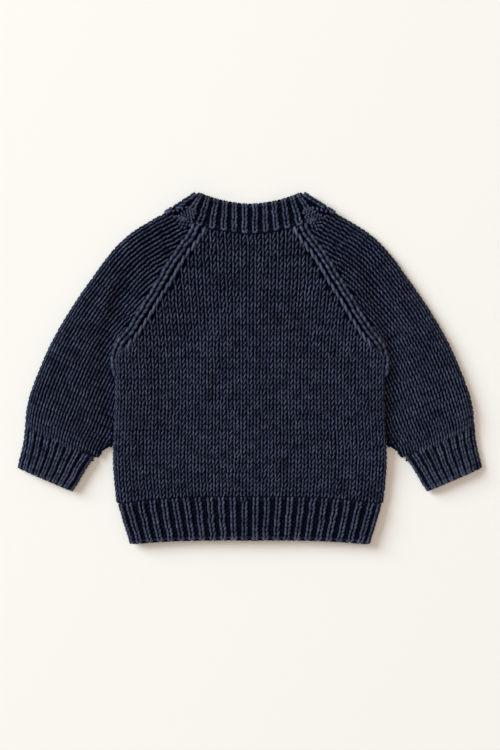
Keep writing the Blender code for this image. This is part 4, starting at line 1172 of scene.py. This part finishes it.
def neck_column(mark, shares):
    """The points of the neckband, seam first, at a place round it in ribs from the middle."""
    side = 1.0 if mark >= 0 else -1.0
    rib = abs(mark)
    if NECK_FOLD_RIB < rib < NECK_UNDER_RIB:
        angle = math.pi * (0.5 - (rib - NECK_FOLD_RIB) / (NECK_UNDER_RIB - NECK_FOLD_RIB))
        way = unit(neck_fold_out * shares[:, None] + sleeve_out * (1.0 - shares[:, None]))
        outermost = sleeve_top + (NECK_FOLD_TOP - sleeve_top) * shares[:, None]
        outermost = outermost + NECK_STEP * (1.0 - shares[:, None]) * sleeve_out
        place = outermost - NECK_RADIUS * (1.0 - math.cos(angle)) * way
        under = 0.5 * (1.0 - math.sin(angle))
        z = np.full(len(shares), 2 * NECK_RADIUS * (1.0 - under) + RIB_RISE * under)
    else:
        behind = rib <= NECK_FOLD_RIB
        upper = np.array([np.interp(rib, NECK_RIBS, line) for line in (NECK_UPPER_X, NECK_UPPER_Y)]) * MM
        low_x = float(np.interp(rib, NECK_RIBS, NECK_LOWER_X)) * MM
        lower = np.array((low_x, float(neck_low_edge(np.array((low_x,)), behind)[0])))
        place = lower + (upper - lower) * shares[:, None]
        if behind:
            z = neck_inner(-place[:, 0], place[:, 1])
        elif side > 0:
            z = front_low(place[:, 0], np.zeros(len(shares))) + RIB_RISE
        else:
            z = np.full(len(shares), RIB_RISE)
    return np.column_stack([side * place[:, 0], place[:, 1], z])


SHOULDER_FROM, SHOULDER_BACK, SHOULDER_TO = 4.9, 6.2, 6.9  # in ribs: here the lowest courses are purl
neck_bounds = rib_bounds(0, 5) + [5.93, 6.72, 7.0, 7.62, 7.98, 8.64, 8.98, 9.64, 9.98, 10.64, 10.9, 11.42]
neck_marks = rib_marks(both_ways(neck_bounds))
neck_shares = np.linspace(0.0, 1.0, NECK_COURSES + 1)
neck_grid = make_cloth(np.stack([neck_column(mark, neck_shares) for mark in neck_marks], axis=1))
neck_skein = Skein(5)
neck_middles = np.abs(neck_marks[2::SPOTS_PER_WALE])
for j in range(NECK_COURSES):
    beside = (neck_middles < SHOULDER_FROM) | (neck_middles > SHOULDER_TO)
    ribbed_here = beside | (j > 2) | ((neck_middles > SHOULDER_BACK) & (j > 1))
    knit_runs(neck_skein, neck_grid, j, ribbed_here, **RIB_LOOP)
cast_edge(neck_skein, neck_grid, NECK_COURSES, -1.0, 1.15 * MM)
back_seam(neck_skein, neck_grid[0, :, :3], neck_grid[0, :, 3:])
furrow_bumps(neck_skein, neck_grid, 0.6)
for wale in range(0, len(neck_middles), 2):  # where each rib starts, a stitch's two legs meet below it
    turn = np.linspace(-1.0, 1.0, 9)
    course = 0.15 + 0.55 * turn**2 + 0.05 * rng.normal()
    place, facing = spots(neck_grid, wale + 0.5 + 0.27 * turn, course)
    level = -NECK_END_RADIUS - 0.9 * MM * turn**4 - 0.3 * MM
    neck_skein.add(place + facing * (level + RIB_RISE)[:, None], facing, NECK_END_RADIUS, level)
for side in (-1.0, 1.0):  # small nubs of purl cover the lowest courses at the shoulder
    for row, course in enumerate(np.arange(0.2, 3.2, 0.55)):
        step = 3.1 / (17.0 - 1.6 * course)  # in ribs, which narrow up the neckband
        for rib in np.arange(5.05 + 0.5 * step * (row % 2), 6.75 if course < 1.8 else 6.1, step):
            wale = np.interp(side * rib, neck_marks, np.arange(len(neck_marks))) / SPOTS_PER_WALE
            lean = 0.9 * side + 0.7 * rng.normal()
            lay_nub(neck_skein, neck_grid, wale, course + 0.05 * rng.normal(), lean, 0.0, **SMALL_NUB)
neck_yarn = neck_skein.wind("neckband_yarn", rib_yarn)
neck_cloth = lay_cloth("neckband_cloth", neck_grid, depth=2.7 * MM)
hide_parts("neckband")

# ---- The bands -------------------------------------------------------------------------------------
# Two narrow knitted strips down the front edges, one lying on the other. The lower one has the
# buttonholes, and its stitches give way where the buttons press into it.

BAND_BOUNDS = np.array((14.0, 6.8, 3.7, -3.7, -6.8, -14.0)) * MM  # of three knit and two purl wales
BAND_COURSES = 64
BAND_CLOTH_DEPTH, BAND_YARN_RADIUS = 2.6 * MM, 1.1 * MM
BUTTON_YS = np.array((119.0, 48.0, -23.0, -94.0, -165.0)) * MM
BUTTON_HOLLOW, HOLLOW_RIM, HOLLOW_DEPTH = 7.7 * MM, 2.6 * MM, 2.3 * MM  # round each button
for name, pressed in (("buttonhole_band", 1.0), ("button_band", 0.0)):
    low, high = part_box(name)
    across, up = np.meshgrid(rib_marks(BAND_BOUNDS), np.linspace(low.y, high.y, BAND_COURSES + 1))
    apart = np.hypot(across, np.abs(up[..., None] - BUTTON_YS).min(axis=2))
    hollow = pressed * HOLLOW_DEPTH * (1.0 - smooth_step((apart - BUTTON_HOLLOW) / HOLLOW_RIM))
    grid = make_cloth(np.stack([across, up, low.z + hollow], axis=2))
    skein = Skein(4)
    knit_rows(skein, grid, rings=8, raised=-RIB_RISE, **(RIB_LOOP | {"radius": BAND_YARN_RADIUS}))
    yarn = skein.wind(f"{name}_yarn", rib_yarn)
    flat_grid = make_cloth(np.stack([across, up, np.full(across.shape, low.z)], axis=2))
    cloth = lay_cloth(f"{name}_cloth", flat_grid, depth=BAND_CLOTH_DEPTH)
    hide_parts(name)

# ---- The buttons -----------------------------------------------------------------------------------
# Five dark four-hole buttons, 15 mm across, turned from horn-like resin, face down. A cross of the
# yarn holds each one.


def horn(name, dark, light):
    """Polished horn, dark with lighter streaks."""
    material, shader = plain_material(name, {"Roughness": 0.28, "Coat Weight": 0.3})
    nodes, link = material.node_tree.nodes, material.node_tree.links.new
    stretch = nodes.new("ShaderNodeMapping")
    stretch.inputs["Scale"].default_value = (90.0, 320.0, 90.0)
    link(nodes.new("ShaderNodeTexCoord").outputs["Object"], stretch.inputs["Vector"])
    texture, streaks = noise(material.node_tree, stretch.outputs[0], 1.0, 5.0)
    texture.inputs["Distortion"].default_value = 1.2
    colours = nodes.new("ShaderNodeValToRGB")
    for element, position, colour in zip(colours.color_ramp.elements, (0.35, 0.72), (dark, light)):
        element.position, element.color = position, colour
    link(streaks, colours.inputs["Fac"])
    link(colours.outputs["Color"], shader.inputs["Base Color"])
    return material


dark_horn = horn("dark_horn", (0.006, 0.005, 0.005, 1.0), (0.035, 0.026, 0.021, 1.0))
THREAD_RADIUS, THREAD_REACH = 0.42 * MM, 1.75 * MM
THREAD_HIGH, THREAD_BEND = 2.2 * MM, 1.0 * MM  # the ends' heights in the holes, and where they turn
thread_skein = Skein(6)
for k, y in enumerate(BUTTON_YS, 1):
    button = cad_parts[f"button_{k}"]
    button.data.materials.clear()
    button.data.materials.append(dark_horn)
    for turn, middle in ((0.25, 1.0), (0.75, 1.6)):  # one strand, and the other across it
        way = np.array((math.cos(turn * math.pi), math.sin(turn * math.pi)))
        steps = np.array((-1.0, -1.0, -0.86, 0.0, 0.86, 1.0, 1.0)) * THREAD_REACH
        heights = (THREAD_HIGH, THREAD_BEND, THREAD_RADIUS, THREAD_RADIUS * middle, THREAD_RADIUS,
                   THREAD_BEND, THREAD_HIGH)
        path = np.column_stack([steps * way[0], y + steps * way[1], heights])
        down = np.broadcast_to((0.01 * way[1], -0.01 * way[0], -1.0), path.shape)
        thread_skein.add(path, down, THREAD_RADIUS, np.full(len(path), -THREAD_RADIUS))
thread_skein.wind("button_thread", navy_yarn)

low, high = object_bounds()
